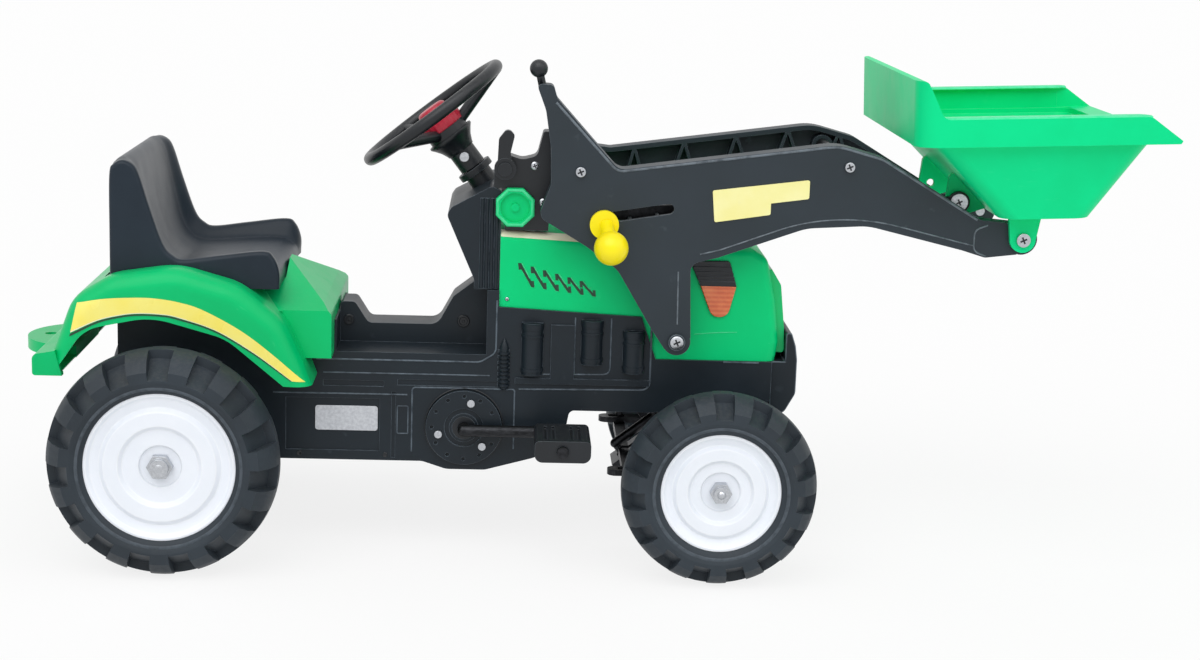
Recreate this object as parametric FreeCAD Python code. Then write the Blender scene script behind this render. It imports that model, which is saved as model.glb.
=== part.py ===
import FreeCAD, Part
import math
import os

# Pedal tractor with a front loader, in millimetres.
# X points forward, Y to the left, Z up; the origin lies on the ground at the middle of the outline.

# Wheels and axles
rear_axle_x = -409.0
rear_tyre_radius = 114.0
rear_tyre_width = 70.0
rear_rim_radius = 74.0
front_axle_x = 139.0
front_tyre_radius = 98.0
front_tyre_width = 60.0
front_rim_radius = 60.0
half_width = 205.0
front_tyre_set_in = 5.0
tyre_wall = 6.0
shoulder_share = 0.845
notch_share = 0.765
notch_count = 15
notch_angle = 12.5
axle_radius = 7.0
stub_radius = 6.0

# Body mouldings
wall = 4.0
body_half = 75.0
body_floor = 93.0
saddle_half = 22.0
saddle_top = 227.0
ledge = 207.0
saddle_rear_x = -249.0
saddle_front_x = -96.0
deck_under = 272.0
deck_thickness = 5.0
hood_half = 72.0
hood_wall = 3.5
hood_rear_x = -84.0
hood_top = 335.0
hood_seam_rear = 257.0
hood_seam_front = 250.0
hood_step_x = 62.0
hood_front_bottom = 206.0
fender_half = 145.0
fender_round = 18.0
apron_half = 110.0
apron_front_x = -251.0
apron_top = deck_under + deck_thickness
ridge = 292.0
bumper_front = 225.0
bumper_half = 70.0
seat_half = 115.0
seat_front_x = -303.0
seat_panel = 20.0
dash_half = 70.0
tow_hole_radius = 6.0
tow_x = -553.0
tow_tip_x = -575.5

# Clearances
run = 0.05
slip = 0.1
gap = 0.3
loose = 0.8

# Pedal drive
chain_pitch = 12.7
chain_links = 62
sprocket_teeth = 16
chain_roller_radius = 3.5
chain_y = 30.0
chain_inner = 5.0
chain_plate = 1.5
chain_band = 9.0
sprocket_thickness = 3.2
tooth_height = 3.0
crank_z = 131.0
crank_length = 100.0
crank_radius = 6.0
crank_arm_y = 93.0
pedal_inner_y = 100.0
pedal_width = 72.0
pedal_length = 56.0
pedal_thickness = 22.0
cover_radius = 39.0
cover_thickness = 7.0
cover_bolt_ring = 27.0
crank_sleeve = 6.0
axle_sleeve = 4.0

# Steering
column_top = (-157.0, 446.0)
column_slope = 37.7
steer_rim_radius = 81.0
steer_rim_tube = 6.5
shaft_radius = 6.0
drop_crank = 55.0
drop_pin_radius = 4.0
tie_rod_x = 53.0
steer_swing = 35.0
kingpin_y = half_width - 93.0
kingpin_radius = 4.0
knuckle_radius = 12.0
knuckle_half_height = 17.6
yoke_thickness = 6.0
link_pin_radius = 4.0

# Loader
arm_outer = 108.0
arm_plate = 6.0
arm_depth = 24.0
arm_rim = 5.0
pivot = (96.0, 232.0)
pivot_radius = 6.0
pivot_boss = 14.0
bucket_pivot = (440.0, 346.0)
bucket_pin_radius = 5.0
tip_boss = 16.0
tilt_start = (24.0, 357.0)
tilt_slope = 9.6
tilt_slot_length = 60.0
tilt_stem_radius = 5.0
tab_pin = (380.0, 378.0)
tab_pin_radius = 4.0
tab_play = 2.8
tab_thickness = 6.0
tie_radius = 7.0
bolt_head = 5.0
bucket_half = 172.0
bucket_floor_half = 140.0
bucket_low = 371.0
bucket_brim = 447.0
bucket_top = 474.0
back_top = 511.0
rim_band = 12.0
bucket_lean = 2.5
bucket_wall = 4.0

# Worked out from the sizes above
rear_axle_z = rear_tyre_radius
front_axle_z = front_tyre_radius
chain_centres = (chain_links - sprocket_teeth) * chain_pitch / 2.0
crank_x = rear_axle_x + math.sqrt(chain_centres ** 2 - (crank_z - rear_axle_z) ** 2)
chain_radius = chain_pitch / (2.0 * math.sin(math.pi / sprocket_teeth))
arm_inner = arm_outer - arm_depth
rear_tyre_in = half_width - rear_tyre_width
front_out = half_width - front_tyre_set_in
front_tyre_in = front_out - front_tyre_width

V = FreeCAD.Vector
up_y = V(0, 1, 0)
down_column = V(math.sin(math.radians(column_slope)), 0, -math.cos(math.radians(column_slope)))
across_column = V(math.cos(math.radians(column_slope)), 0, math.sin(math.radians(column_slope)))
nodes = {}


def box(x0, x1, y0, y1, z0, z1):
    return Part.makeBox(x1 - x0, y1 - y0, z1 - z0, V(x0, y0, z0))


def rod_y(x, z, radius, y0, y1):
    return Part.makeCylinder(radius, y1 - y0, V(x, y0, z), up_y)


def rod_z(x, y, radius, z0, z1):
    return Part.makeCylinder(radius, z1 - z0, V(x, y, z0))


def rod(start, end, radius):
    along = end.sub(start)
    return Part.makeCylinder(radius, along.Length, start, along)


def corner(before, at, after, radius):
    # Tangent points and middle of the arc that rounds one corner
    to_a = before.sub(at).normalize()
    to_b = after.sub(at).normalize()
    half = to_a.getAngle(to_b) / 2.0
    reach = radius / math.tan(half)
    bisector = to_a.add(to_b).normalize()
    middle = at.add(bisector.multiply(radius / math.sin(half) - radius))
    return at.add(to_a.multiply(reach)), middle, at.add(to_b.multiply(reach))


def rounded_wire(points):
    # Closed wire through 3-D points, each with its own corner radius
    edges = []
    count = len(points)
    ends = []
    for i, (at, radius) in enumerate(points):
        before = points[i - 1][0]
        after = points[(i + 1) % count][0]
        if radius > 0:
            first, middle, last = corner(before, at, after, radius)
            edges.append(Part.Arc(first, middle, last).toShape())
            ends.append((first, last))
        else:
            ends.append((at, at))
    for i in range(count):
        start = ends[i][1]
        end = ends[(i + 1) % count][0]
        if start.distanceToPoint(end) > 1e-6:
            edges.append(Part.makeLine(start, end))
    return Part.Wire(Part.__sortEdges__(edges))


def side_face(points, y=0.0):
    # Face in the XZ plane from (x, z) or (x, z, corner radius)
    return Part.Face(rounded_wire([(V(p[0], y, p[1]), p[2] if len(p) > 2 else 0) for p in points]))


def plate(points, y0, y1):
    return side_face(points, y0).extrude(V(0, y1 - y0, 0))


def shrunk(points, inset, y0, y1):
    face = side_face(points, y0).makeOffset2D(-inset)
    return face.extrude(V(0, y1 - y0, 0))


def spun(profile, x, z):
    # Turned part about a Y axis from (radius, y) points
    wire = Part.makePolygon([V(x, y, z + r) for r, y in profile + profile[:1]])
    return Part.Face(wire).revolve(V(x, 0, z), up_y, 360)


def mirrored(shape):
    return shape.mirror(V(0, 0, 0), V(0, 1, 0))


def joined(shapes):
    return shapes[0].multiFuse(shapes[1:]).removeSplitter()


def pair(shape):
    return Part.makeCompound([shape, mirrored(shape)])


def column(t, across=0.0, y=0.0):
    # Point on the steering axis, t down from the rim plane
    base = V(column_top[0], y, column_top[1])
    return base + down_column * t + across_column * across


def column_block(t0, t1, a0, a1, half_y):
    # Block squared up to the steering axis
    length = t1 - t0
    block = Part.makeBox(a1 - a0, 2 * half_y, length, V(a0, -half_y, 0))
    turn = FreeCAD.Rotation(across_column, V(0, -1, 0), down_column, "ZXY")
    block.Placement = FreeCAD.Placement(column(t0), turn)
    return block


def column_way():
    # Free way for the steering shaft through the mouldings
    return rod(column(100), column(400), shaft_radius + 2)


def arc_copy(shape, x, z, degrees):
    copy = shape.copy()
    copy.rotate(V(x, 0, z), up_y, degrees)
    return copy


def keep(name, shape):
    nodes[name] = shape


# Main moulding: hollow, open below, with the engine relief on both sides
def make_body():
    outer = [(-470, body_floor, 8), (-470, deck_under, 10), (-330, deck_under, 15), (-300, 240, 12),
             (saddle_rear_x, 240), (saddle_rear_x, 249, 4), (-234, 249, 6), (-220, saddle_top, 8),
             (-148, saddle_top, 14), (-132, 257, 8), (-110, 274, 3), (hood_rear_x, 274),
             (hood_rear_x, hood_seam_rear),
             (hood_step_x, hood_seam_front), (hood_step_x + 16, hood_front_bottom),
             (198, hood_front_bottom), (198, 160, 10), (75, 150, 10), (-9, 150, 6), (-14, 122, 20),
             (-44, 99, 16), (-95, 85, 20), (-135, 85, 20), (-160, body_floor, 15)]
    body = plate(outer, -body_half, body_half)
    hollow = shrunk(outer, wall, -body_half + wall, body_half - wall)
    # Step-over between seat and dash: a narrow saddle with a foot ledge on each side
    beside = box(saddle_rear_x, saddle_front_x, saddle_half, body_half + 1, ledge, 300)
    grown = box(saddle_rear_x - wall, saddle_front_x + wall, saddle_half - wall, body_half + 1,
                ledge - wall, 300)
    body = body.cut(beside).cut(mirrored(beside))
    hollow = hollow.cut(grown).cut(mirrored(grown))
    below = hollow.copy()
    below.translate(V(0, 0, -2 * wall))
    body = body.cut(hollow).cut(below)
    # Grooves above the beam and the recessed beam panel
    grooves = []
    for x0, x1, z in ((-262, -200, 174), (-186, -84, 176)):
        grooves.append(box(x0, x1, -body_half - 1, -body_half + 1.5, z - 3, z + 3))
    grooves.append(box(-300, -204, -body_half - 1, -body_half + 1.5, 103, 158))
    grooves.append(box(-192, -188, -body_half - 1, -body_half + 1.5, 96, 166))
    for groove in grooves:
        body = body.cut(groove).cut(mirrored(groove))
    # Relief of a toy engine: panels, canisters and a ribbed strut
    reliefs = [box(-66, 72, -body_half - 3, -body_half, 178, 184),
               box(-30, -6, -body_half - 3, -body_half, 184, 240)]
    for x, z0, z1 in ((-49, 188, 242), (12, 200, 246), (55, 192, 236)):
        reliefs.append(rod_z(x, -body_half, 11, z0, z1).common(box(x - 20, x + 20, -200, -body_half, z0,
                                                                   z1)))
    for z in range(180, 216, 6):
        reliefs.append(box(-84, -72, -body_half - 2, -body_half, z, z + 3))
    for relief in reliefs:
        body = body.fuse(relief).fuse(mirrored(relief))
    # Through bores for the bushes of both shafts
    for x, z, radius in ((rear_axle_x, rear_axle_z, axle_radius + axle_sleeve),
                         (crank_x, crank_z, crank_radius + crank_sleeve)):
        body = body.cut(rod_y(x, z, radius + slip, -body_half - 5, body_half + 5))
    body = body.cut(column_way())
    # Bolt holes of the bearing covers
    for angle in (45, 165, 285):
        hole = rod_y(crank_x + cover_bolt_ring, crank_z, 2.5, -body_half - 5, body_half + 5)
        body = body.cut(arc_copy(hole, crank_x, crank_z, angle))
    return body.removeSplitter()


def make_dash():
    outer = [(hood_rear_x, 274), (-110, 274), (-110, 284, 10), (-139, 350, 8), (-134, 358, 6),
             (-94, 380, 6), (hood_rear_x, 376, 2)]
    dash = plate(outer, -dash_half, dash_half)
    inner = [(hood_rear_x - wall, 274 + wall), (-110 + wall, 274 + wall), (-106, 286), (-134, 350),
             (-132, 354),
             (-94, 375), (hood_rear_x - wall, 372)]
    dash = dash.cut(plate(inner, -dash_half + wall, dash_half - wall))
    # Ribbed corner column on each side
    for i in range(4):
        x = hood_rear_x - 4 - 5 * i
        rib = rod_z(x, -dash_half, 2, 275, 368).fuse(rod_z(x, dash_half, 2, 275, 368))
        dash = dash.fuse(rib)
    dash = dash.cut(rod(column(60), column(150), collar_radius + slip))
    return dash.removeSplitter()


def hood_outline():
    return [(hood_rear_x, hood_seam_rear), (hood_rear_x, hood_top), (172, 323, 18), (190, 312, 14),
            (200, 268, 60), (205, 225, 8), (202, hood_front_bottom), (hood_step_x + 16, hood_front_bottom),
            (hood_step_x, hood_seam_front)]


def make_hood():
    hood = plate(hood_outline(), -hood_half, hood_half)
    edges = [e for e in hood.Edges
             if abs(abs(e.CenterOfMass.y) - hood_half) < 0.01 and e.CenterOfMass.z > 322]
    hood = hood.makeFillet(11, edges)
    inner = [(hood_rear_x + hood_wall, 240), (hood_rear_x + hood_wall, hood_top - hood_wall),
             (170, 323 - hood_wall, 14), (186, 310, 10), (196, 268, 50), (201, 225, 6), (198, 190),
             (70, 190)]
    hood = hood.cut(plate(inner, -hood_half + hood_wall, hood_half - hood_wall))
    # Slanted louvre slots on both sides
    for i in range(6):
        x = -57 + 12.6 * i
        z = 290 - 2.5 * i
        rise = 12.5 - 0.9 * i
        slot = plate([(x + 5, z - rise), (x + 9, z - rise), (x - 5, z + rise), (x - 9, z + rise)],
                     -hood_half - 1,
                     -hood_half + 1.4)
        hood = hood.cut(slot).cut(mirrored(slot))
    # Pockets for the lamps, and bores for the loader pivots
    lamp = plate(lamp_outline(gap), -hood_half - 1, -hood_half + 2)
    hood = hood.cut(lamp).cut(mirrored(lamp))
    hood = hood.cut(rod_y(pivot[0], pivot[1], pivot_radius + gap, -100, 100)).cut(column_way())
    return hood.removeSplitter()


def lamp_outline(spread):
    return [(110 - spread, 309 + spread, 3), (150 + spread, 310 + spread, 4), (158 + spread, 284, 8),
            (150, 252 - spread, 10), (134, 252 - spread, 10), (122 - spread, 282, 8)]


def make_lamps():
    whole = plate(lamp_outline(0), -hood_half - 3, -hood_half + 2)
    split = 284
    upper = whole.common(box(90, 180, -90, 0, split, 330))
    lower = whole.common(box(90, 180, -90, 0, 230, split))
    for i in range(4):
        groove = box(100, 170, -hood_half - 4, -hood_half - 2, 289 + 5 * i, 291 + 5 * i)
        upper = upper.cut(groove)
    return upper, lower


def make_grille():
    # Frame and cross bars that stand on the sloping nose
    grille = plate([(198, 214), (212, 213, 3), (211, 240, 20), (206, 284, 10), (196, 300), (186, 300)],
                   -58, 58)
    window = box(150, 230, -52, 52, 219, 293).cut(box(150, 230, -3, 3, 210, 300))
    bars = [box(150, 230, -53, 53, 219 + 8.4 * i, 222 + 8.4 * i) for i in range(1, 9)]
    grille = grille.cut(window.cut(bars[0].multiFuse(bars[1:])))
    solid_hood = plate(hood_outline(), -hood_half, hood_half)
    return grille.cut(solid_hood)


def make_bumper():
    back = bumper_front - 12.7
    outer = [(198, 160), (198, hood_front_bottom), (back, hood_front_bottom), (back, 236, 3),
             (back + 6, 236, 3), (bumper_front - 2, 222, 6), (bumper_front, 208, 10),
             (bumper_front, 172, 12),
             (bumper_front - 12, 150, 10), (190, 150, 6), (186, 159)]
    bumper = plate(outer, -bumper_half, bumper_half)
    for i in range(-4, 5):
        groove = box(bumper_front - 5, bumper_front + 5, 14 * i - 2.5, 14 * i + 2.5, 196, 240)
        bumper = bumper.cut(groove)
    return bumper


# Green rear moulding: two wheel arches, seat deck, front apron and tow tongue
def make_arch(inset):
    # Arched block over both wheels, its long edges rounded over, smaller by inset for the inside
    crown = [(-530 + inset, 194), (-503 + 0.88 * inset, 268 - 0.5 * inset, 40 - inset),
             (-466 + 0.25 * inset, 291 - inset, 60 - inset), (-402, 301 - inset, 80 - inset),
             (-340 - 0.5 * inset, 284 - 0.88 * inset, 60 - inset),
             (-296 - 0.88 * inset, 249 - 0.62 * inset, 50 - inset),
             (-276 - inset, 205 - 0.25 * inset, 30 - inset), (-268 - inset, 184)]
    half = fender_half - inset
    block = plate(crown, -half, half)
    edges = [e for e in block.Edges
             if abs(abs(e.CenterOfMass.y) - half) < 0.01 and e.CenterOfMass.z > 195]
    return block.makeFillet(fender_round - inset, edges)


def make_apron(drop):
    # Ramp in front of the seat that falls from its ridge to both sides, smaller by drop for the inside
    half = apron_half - drop
    front = apron_front_x - drop
    rear = seat_front_x + gap
    ramp = plate([(-309, 207 - drop), (-309, apron_top - drop), (rear, apron_top - drop),
                  (rear, ridge - 1.2 * drop),
                  (front - 9, 261 - 1.2 * drop, 5), (front, 252 - drop, 5), (front, 207 - drop)], -half,
                  half)
    wedge = Part.Face(Part.makePolygon([V(-320, -half - 1, 255 - drop), V(-320, -4, ridge + 2 - drop),
                                        V(-320, -half - 1, ridge + 2 - drop),
                                        V(-320, -half - 1, 255 - drop)]))
    wedge = wedge.extrude(V(90, 0, 0))
    return ramp.cut(wedge).cut(mirrored(wedge))


def make_fender():
    outer = make_arch(0)
    cavity = make_arch(wall)
    core = make_arch(wall / 2)
    below = cavity.copy()
    below.translate(V(0, 0, -30))
    wheel_room = plate([(-526, 150), (-526, 184), (-522, 191), (-490, 238, 40), (-425, 252, 80),
                        (-352, 232, 60),
                        (-294, 184), (-294, 150)], -fender_half - 1, fender_half + 1)
    fender = outer.cut(cavity).cut(below).cut(wheel_room)
    # Deck that carries the seat, and the inner walls of both shoulders
    deck = box(-475, -300, -fender_half, fender_half, deck_under, apron_top)
    shoulder = box(-475, -300, seat_half + gap, seat_half + gap + wall, deck_under, 310)
    for inside in (deck, shoulder, mirrored(shoulder)):
        fender = fender.fuse(inside.common(core))
    fender = fender.fuse(make_apron(0).cut(make_apron(wall)))
    tail = plate([(-541, 191, 3), (-541, 212, 6), (-519, 216), (-512, 191)], -fender_half, fender_half)
    tongue = box(tow_tip_x + 30, -515, -60, 60, 191, 203).fuse(
        rod_z(tow_tip_x + 60, 0, 60, 191, 203).common(box(tow_tip_x, -515, -60, 60, 191, 203)))
    fender = fender.fuse(tail.cut(cavity).cut(below)).fuse(tongue)
    fender = fender.cut(rod_z(tow_x, 0, tow_hole_radius, 180, 220))
    # Room for the seat above the deck and for the body below it
    room = seat_half + gap
    fender = fender.cut(box(-475, seat_front_x + gap, -room, room, apron_top, 330))
    room = body_half + gap
    fender = fender.cut(box(-470 - gap, -300, -room, room, 80, deck_under))
    fender = fender.cut(box(-310, -249 + gap, -room, room, 150, 240 + gap))
    for x in seat_screw_x:
        for y in (-seat_screw_y, seat_screw_y):
            fender = fender.cut(rod_z(x, y, 3 + slip, deck_under - 1, apron_top + 1))
    return fender.removeSplitter()


def make_seat():
    outline = [(-470, apron_top, 3), (-468, 402, 8), (-445, 401, 8), (-420, 322, 30), (-402, 303, 12),
               (-319, 315, 10), (-303, 298, 10), (-303, apron_top, 6)]
    seat = plate(outline, -seat_half, seat_half)
    hollow = [(-454, 420), (-445, 380, 20), (-432, 316, 20), (-405, 291, 14), (-330, 297, 10),
              (-312, 290, 8),
              (-290, 284), (-290, 420)]
    seat = seat.cut(plate(hollow, -seat_half + seat_panel, seat_half - seat_panel))
    # Hollow side panels, open below except at the screw bosses
    room = shrunk(outline, wall, -seat_half + wall, -seat_half + seat_panel - wall)
    low = room.copy()
    low.translate(V(0, 0, -2 * wall))
    room = room.fuse(low)
    for x in seat_screw_x:
        room = room.cut(rod_z(x, -seat_screw_y, 8, apron_top - 1, apron_top + 20))
    seat = seat.cut(room).cut(mirrored(room))
    for x in seat_screw_x:
        for y in (-seat_screw_y, seat_screw_y):
            seat = seat.cut(rod_z(x, y, 3 + slip, apron_top - 1, apron_top + 14))
    return seat.removeSplitter()


def make_seat_screws():
    screws = []
    for x in seat_screw_x:
        for y in (-seat_screw_y, seat_screw_y):
            head = rod_z(x, y, 6, deck_under - 4, deck_under)
            screws.append(head.fuse(rod_z(x, y, 3, deck_under, apron_top + 12)))
    return Part.makeCompound(screws)


# Wheels
def make_tyre(radius, rim, inner_y, outer_y, axle_x, axle_z):
    # Crowned tread on a flat-sided carcass, with notches cut into both shoulders in turn
    width = outer_y - inner_y
    middle = inner_y + width / 2
    shoulder = radius * shoulder_share
    notch = radius * notch_share
    deep = width * 0.4
    half = [(rim, -6), (rim + 8, -1), (rim + 12, 0), (shoulder, 0),
            (shoulder + 0.55 * (radius - shoulder), -0.13 * width),
            (radius - 2, -0.3 * width)]
    inside = [(radius - 14, -0.5 * width + 6), (radius - 16, -deep), (notch - 5, -tyre_wall - 2),
              (rim + 10, -tyre_wall - 1),
              (rim, -tyre_wall - 6)]
    outer = [(r, outer_y + y) for r, y in half] + [(radius, middle)] + [(r, inner_y - y) for r,
                                                                        y in half[::-1]]
    inner = [(r, inner_y - y) for r, y in inside[::-1]] + [(r, outer_y + y) for r, y in inside]
    tyre = spun([(r, -y) for r, y in outer + inner], axle_x, axle_z)
    # One wedge of each shoulder, turned round the axle
    high = radius + 5
    wedges = []
    for edge, way, start in ((outer_y, 1, 0.0), (inner_y, -1, 0.5)):
        corners = [(notch, edge + way), (radius - 10, edge - way * deep), (high, edge - way * deep),
                   (high, edge + way)]
        wire = Part.makePolygon([V(axle_x, -y, axle_z + r) for r, y in corners + corners[:1]])
        wedge = Part.Face(wire).revolve(V(axle_x, 0, axle_z), up_y, notch_angle)
        for i in range(notch_count):
            wedges.append(arc_copy(wedge, axle_x, axle_z,
                                   360.0 * (i + start) / notch_count - notch_angle / 2))
    return tyre.cut(Part.makeCompound(wedges)).removeSplitter()


def make_rim(rim, inner_y, outer_y, hub_in, bore, axle_x, axle_z):
    # Dished disc with stepped rings and a hub sleeve along the axle
    face = outer_y - 12
    edge = rim - slip
    profile = [(bore, face - 3), (bore + 13, face - 3), (bore + 14, face), (rim * 0.5, face),
               (rim * 0.55, face + 4), (rim * 0.74, face + 4), (rim * 0.8, face), (edge - 6, face + 2),
               (edge - 3, outer_y - 6.5), (edge, outer_y - 6.5), (edge, inner_y + 6.5),
               (edge - 5, inner_y + 6.5),
               (edge - 6, face - 5), (bore + 8, face - 12), (bore + 8, hub_in), (bore, hub_in)]
    return spun([(r, -y) for r, y in profile], axle_x, axle_z)


def make_nut(axle_x, axle_z, y0, y1, radius, bore):
    # Hexagon nut with a domed cap, seen from outside
    sides = [(axle_x + radius * math.cos(math.radians(60 * i)),
              axle_z + radius * math.sin(math.radians(60 * i)))
             for i in range(6)]
    nut = plate(sides, -y1 + 4, -y0)
    cap = rod_y(axle_x, axle_z, radius * 0.7, -y1, -y1 + 4)
    return nut.fuse(cap).cut(rod_y(axle_x, axle_z, bore, -y1 + 3, -y0 + 1))


# Chain drive
def sprocket(x, z, bore):
    slope = math.atan2(crank_z - rear_axle_z, crank_x - rear_axle_x)
    tip = chain_radius - chain_roller_radius - gap
    root = tip - tooth_height
    half = math.pi / sprocket_teeth
    points = []
    for i in range(sprocket_teeth):
        a = slope + 2 * half * i
        for turn, r in ((-0.42, root), (-0.2, tip), (0.2, tip), (0.42, root)):
            angle = a + half + turn * half * 1.05
            points.append((x + r * math.cos(angle), z + r * math.sin(angle)))
    y0 = chain_y - sprocket_thickness / 2
    wheel = plate(points, y0, y0 + sprocket_thickness)
    wheel = wheel.fuse(rod_y(x, z, bore + 5, chain_y - 12, chain_y + 12))
    for i in range(5):
        wheel = wheel.cut(arc_copy(rod_y(x + chain_radius * 0.57, z, 3.5, 0, 60), x, z, 72 * i + 36))
    return wheel.cut(rod_y(x, z, bore + run, 0, 60)).removeSplitter()


def chain_point(distance):
    # Place along the pitch line, starting on top of the rear sprocket
    slope = math.atan2(crank_z - rear_axle_z, crank_x - rear_axle_x)
    straight = chain_centres
    turn = sprocket_teeth * chain_pitch / 2.0
    along = (math.cos(slope), math.sin(slope))
    above = (-math.sin(slope), math.cos(slope))
    if distance < straight:
        a, b = distance, chain_radius
    elif distance < straight + turn:
        angle = math.pi * (distance - straight) / turn
        a, b = straight + chain_radius * math.sin(angle), chain_radius * math.cos(angle)
    elif distance < 2 * straight + turn:
        a, b = straight - (distance - straight - turn), -chain_radius
    else:
        angle = math.pi * (distance - 2 * straight - turn) / turn
        a, b = -chain_radius * math.sin(angle), -chain_radius * math.cos(angle)
    return rear_axle_x + a * along[0] + b * above[0], rear_axle_z + a * along[1] + b * above[1]


def make_chain():
    slope = math.degrees(math.atan2(crank_z - rear_axle_z, crank_x - rear_axle_x))

    def loop(radius, y0, y1):
        ends = rod_y(rear_axle_x, rear_axle_z, radius, y0, y1).fuse(rod_y(crank_x, crank_z, radius, y0, y1))
        middle = box(rear_axle_x, rear_axle_x + chain_centres, y0, y1, rear_axle_z - radius,
                     rear_axle_z + radius)
        return ends.fuse(arc_copy(middle, rear_axle_x, rear_axle_z, -slope))

    pieces = []
    for side in (-1, 1):
        middle = chain_y + side * (chain_inner + chain_plate) / 2
        y0, y1 = middle - chain_plate / 2, middle + chain_plate / 2
        pieces.append(loop(chain_radius + chain_band / 2, y0, y1).cut(loop(chain_radius - chain_band / 2,
                                                                           y0, y1)))
    for i in range(chain_links):
        x, z = chain_point(i * chain_pitch)
        pieces.append(rod_y(x, z, chain_roller_radius, chain_y - chain_inner / 2,
                            chain_y + chain_inner / 2))
    return pieces[0].multiFuse(pieces[1:]).removeSplitter()


# Cranks and pedals
def crank_end(side):
    # Where the pedal axle of the right (-1) or left (1) crank lies along X
    return crank_x - side * crank_length


def make_crank():
    shaft = rod_y(crank_x, crank_z, crank_radius, -crank_arm_y, crank_arm_y)
    pieces = [shaft]
    for side in (-1, 1):
        end = crank_end(side)
        y = side * crank_arm_y
        pieces.append(rod(V(crank_x, y, crank_z), V(end, y, crank_z), crank_radius))
        tip = y + side * (pedal_inner_y - crank_arm_y + pedal_width + 4)
        pieces.append(rod(V(end, y, crank_z), V(end, tip, crank_z), crank_radius))
        for x in (crank_x, end):
            pieces.append(Part.makeSphere(crank_radius, V(x, y, crank_z)))
    return joined(pieces)


def make_pedal(side):
    end = crank_end(side)
    y0 = pedal_inner_y
    y1 = y0 + pedal_width
    half = pedal_length / 2
    low = crank_z - pedal_thickness / 2
    high = crank_z + pedal_thickness / 2
    outline = [(end - half, low, 8), (end - half, high, 5), (end + half, high, 5), (end + half, low, 8)]
    pedal = plate(outline, y0, y1)
    for x in (end - half + 11, end - half + 19, end + half - 19, end + half - 11):
        pedal = pedal.cut(box(x - 1.5, x + 1.5, y0 + 10, y1 - 10, high - 3, high + 1))
    pedal = pedal.cut(rod_y(end, crank_z, crank_radius + run, y0 - 1, y1 + 1))
    return pedal if side > 0 else mirrored(pedal)


def make_cover():
    y1 = body_half + cover_thickness
    cover = rod_y(crank_x, crank_z, cover_radius, -y1, -body_half)
    cover = cover.cut(rod_y(crank_x, crank_z, 20, -y1, -y1 + 2).cut(rod_y(crank_x, crank_z, 15, -y1,
                                                                          -y1 + 2)))
    for i in range(12):
        cover = cover.cut(arc_copy(rod_y(crank_x + 33, crank_z, 2, -y1, -y1 + 3), crank_x, crank_z, 30 * i))
    for angle in (45, 165, 285):
        hole = rod_y(crank_x + cover_bolt_ring, crank_z, 2.5, -y1 - 1, -body_half + 1)
        cover = cover.cut(arc_copy(hole, crank_x, crank_z, angle))
    return cover.cut(rod_y(crank_x, crank_z, crank_radius + crank_sleeve + slip, -y1 - 1, -body_half + 1))


def make_cover_bolts():
    y1 = body_half + cover_thickness
    bolt = rod_y(crank_x + cover_bolt_ring, crank_z, bolt_head - 1, -y1 - 3, -y1)
    bolt = bolt.fuse(rod_y(crank_x + cover_bolt_ring, crank_z, 2.4, -y1, -body_half + wall + 2))
    bolts = [arc_copy(bolt, crank_x, crank_z, angle) for angle in (45, 165, 285)]
    return Part.makeCompound(bolts + [mirrored(b) for b in bolts])


def make_bush(x, z, bore, sleeve, y_out, wall_in):
    # Flanged sleeve in a body wall, its flange inside
    tube = rod_y(x, z, bore + sleeve, -y_out, -wall_in)
    flange = rod_y(x, z, bore + 9, -wall_in, -wall_in + 3)
    return tube.fuse(flange).cut(rod_y(x, z, bore + run, -y_out - 1, -wall_in + 4))


# Front axle and steering
def make_axle_beam():
    z = front_axle_z
    x = front_axle_x
    yoke_in = kingpin_y - knuckle_radius - 4
    yoke_out = kingpin_y + knuckle_radius
    high = z + knuckle_half_height + gap + yoke_thickness
    low = z - knuckle_half_height - gap - yoke_thickness
    beam = box(x - 12, x + 12, -yoke_in, yoke_in, z - 10, z + 10)
    for side in (-1, 1):
        y0, y1 = sorted((side * yoke_in, side * (yoke_in - yoke_thickness)))
        beam = beam.fuse(box(x - 12, x + 12, y0, y1, low, high))
        y0, y1 = sorted((side * (yoke_in - yoke_thickness), side * yoke_out))
        beam = beam.fuse(box(x - 12, x + 12, y0, y1, high - yoke_thickness, high))
        beam = beam.fuse(box(x - 12, x + 12, y0, y1, low, low + yoke_thickness))
        beam = beam.cut(rod_z(x, side * kingpin_y, kingpin_radius + slip, low - 1, high + 1))
    # Pedestal up to the body, and the lower bearing of the column
    beam = beam.fuse(box(x - 22, x + 24, -40, 40, z + 10, 152.5).cut(box(x - 30, x + 40, -36, 36, z + 14,
                                                                         146)))
    arm = box(86, x - 12, 14, 22, 128, 146)
    beam = beam.fuse(arm).fuse(mirrored(arm))
    beam = beam.fuse(column_block(376, 388, -14, 14, 22))
    beam = beam.cut(rod(column(360), column(400), shaft_radius + run))
    trimmed = beam.cut(nodes["body_shell"])
    return trimmed.removeSplitter()


def make_kingpin():
    top = front_axle_z + knuckle_half_height + gap + yoke_thickness
    low = front_axle_z - knuckle_half_height - gap - yoke_thickness
    pin = rod_z(front_axle_x, -kingpin_y, kingpin_radius, low - 3, top)
    return pin.fuse(rod_z(front_axle_x, -kingpin_y, kingpin_radius + 3, top, top + 3))


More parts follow.
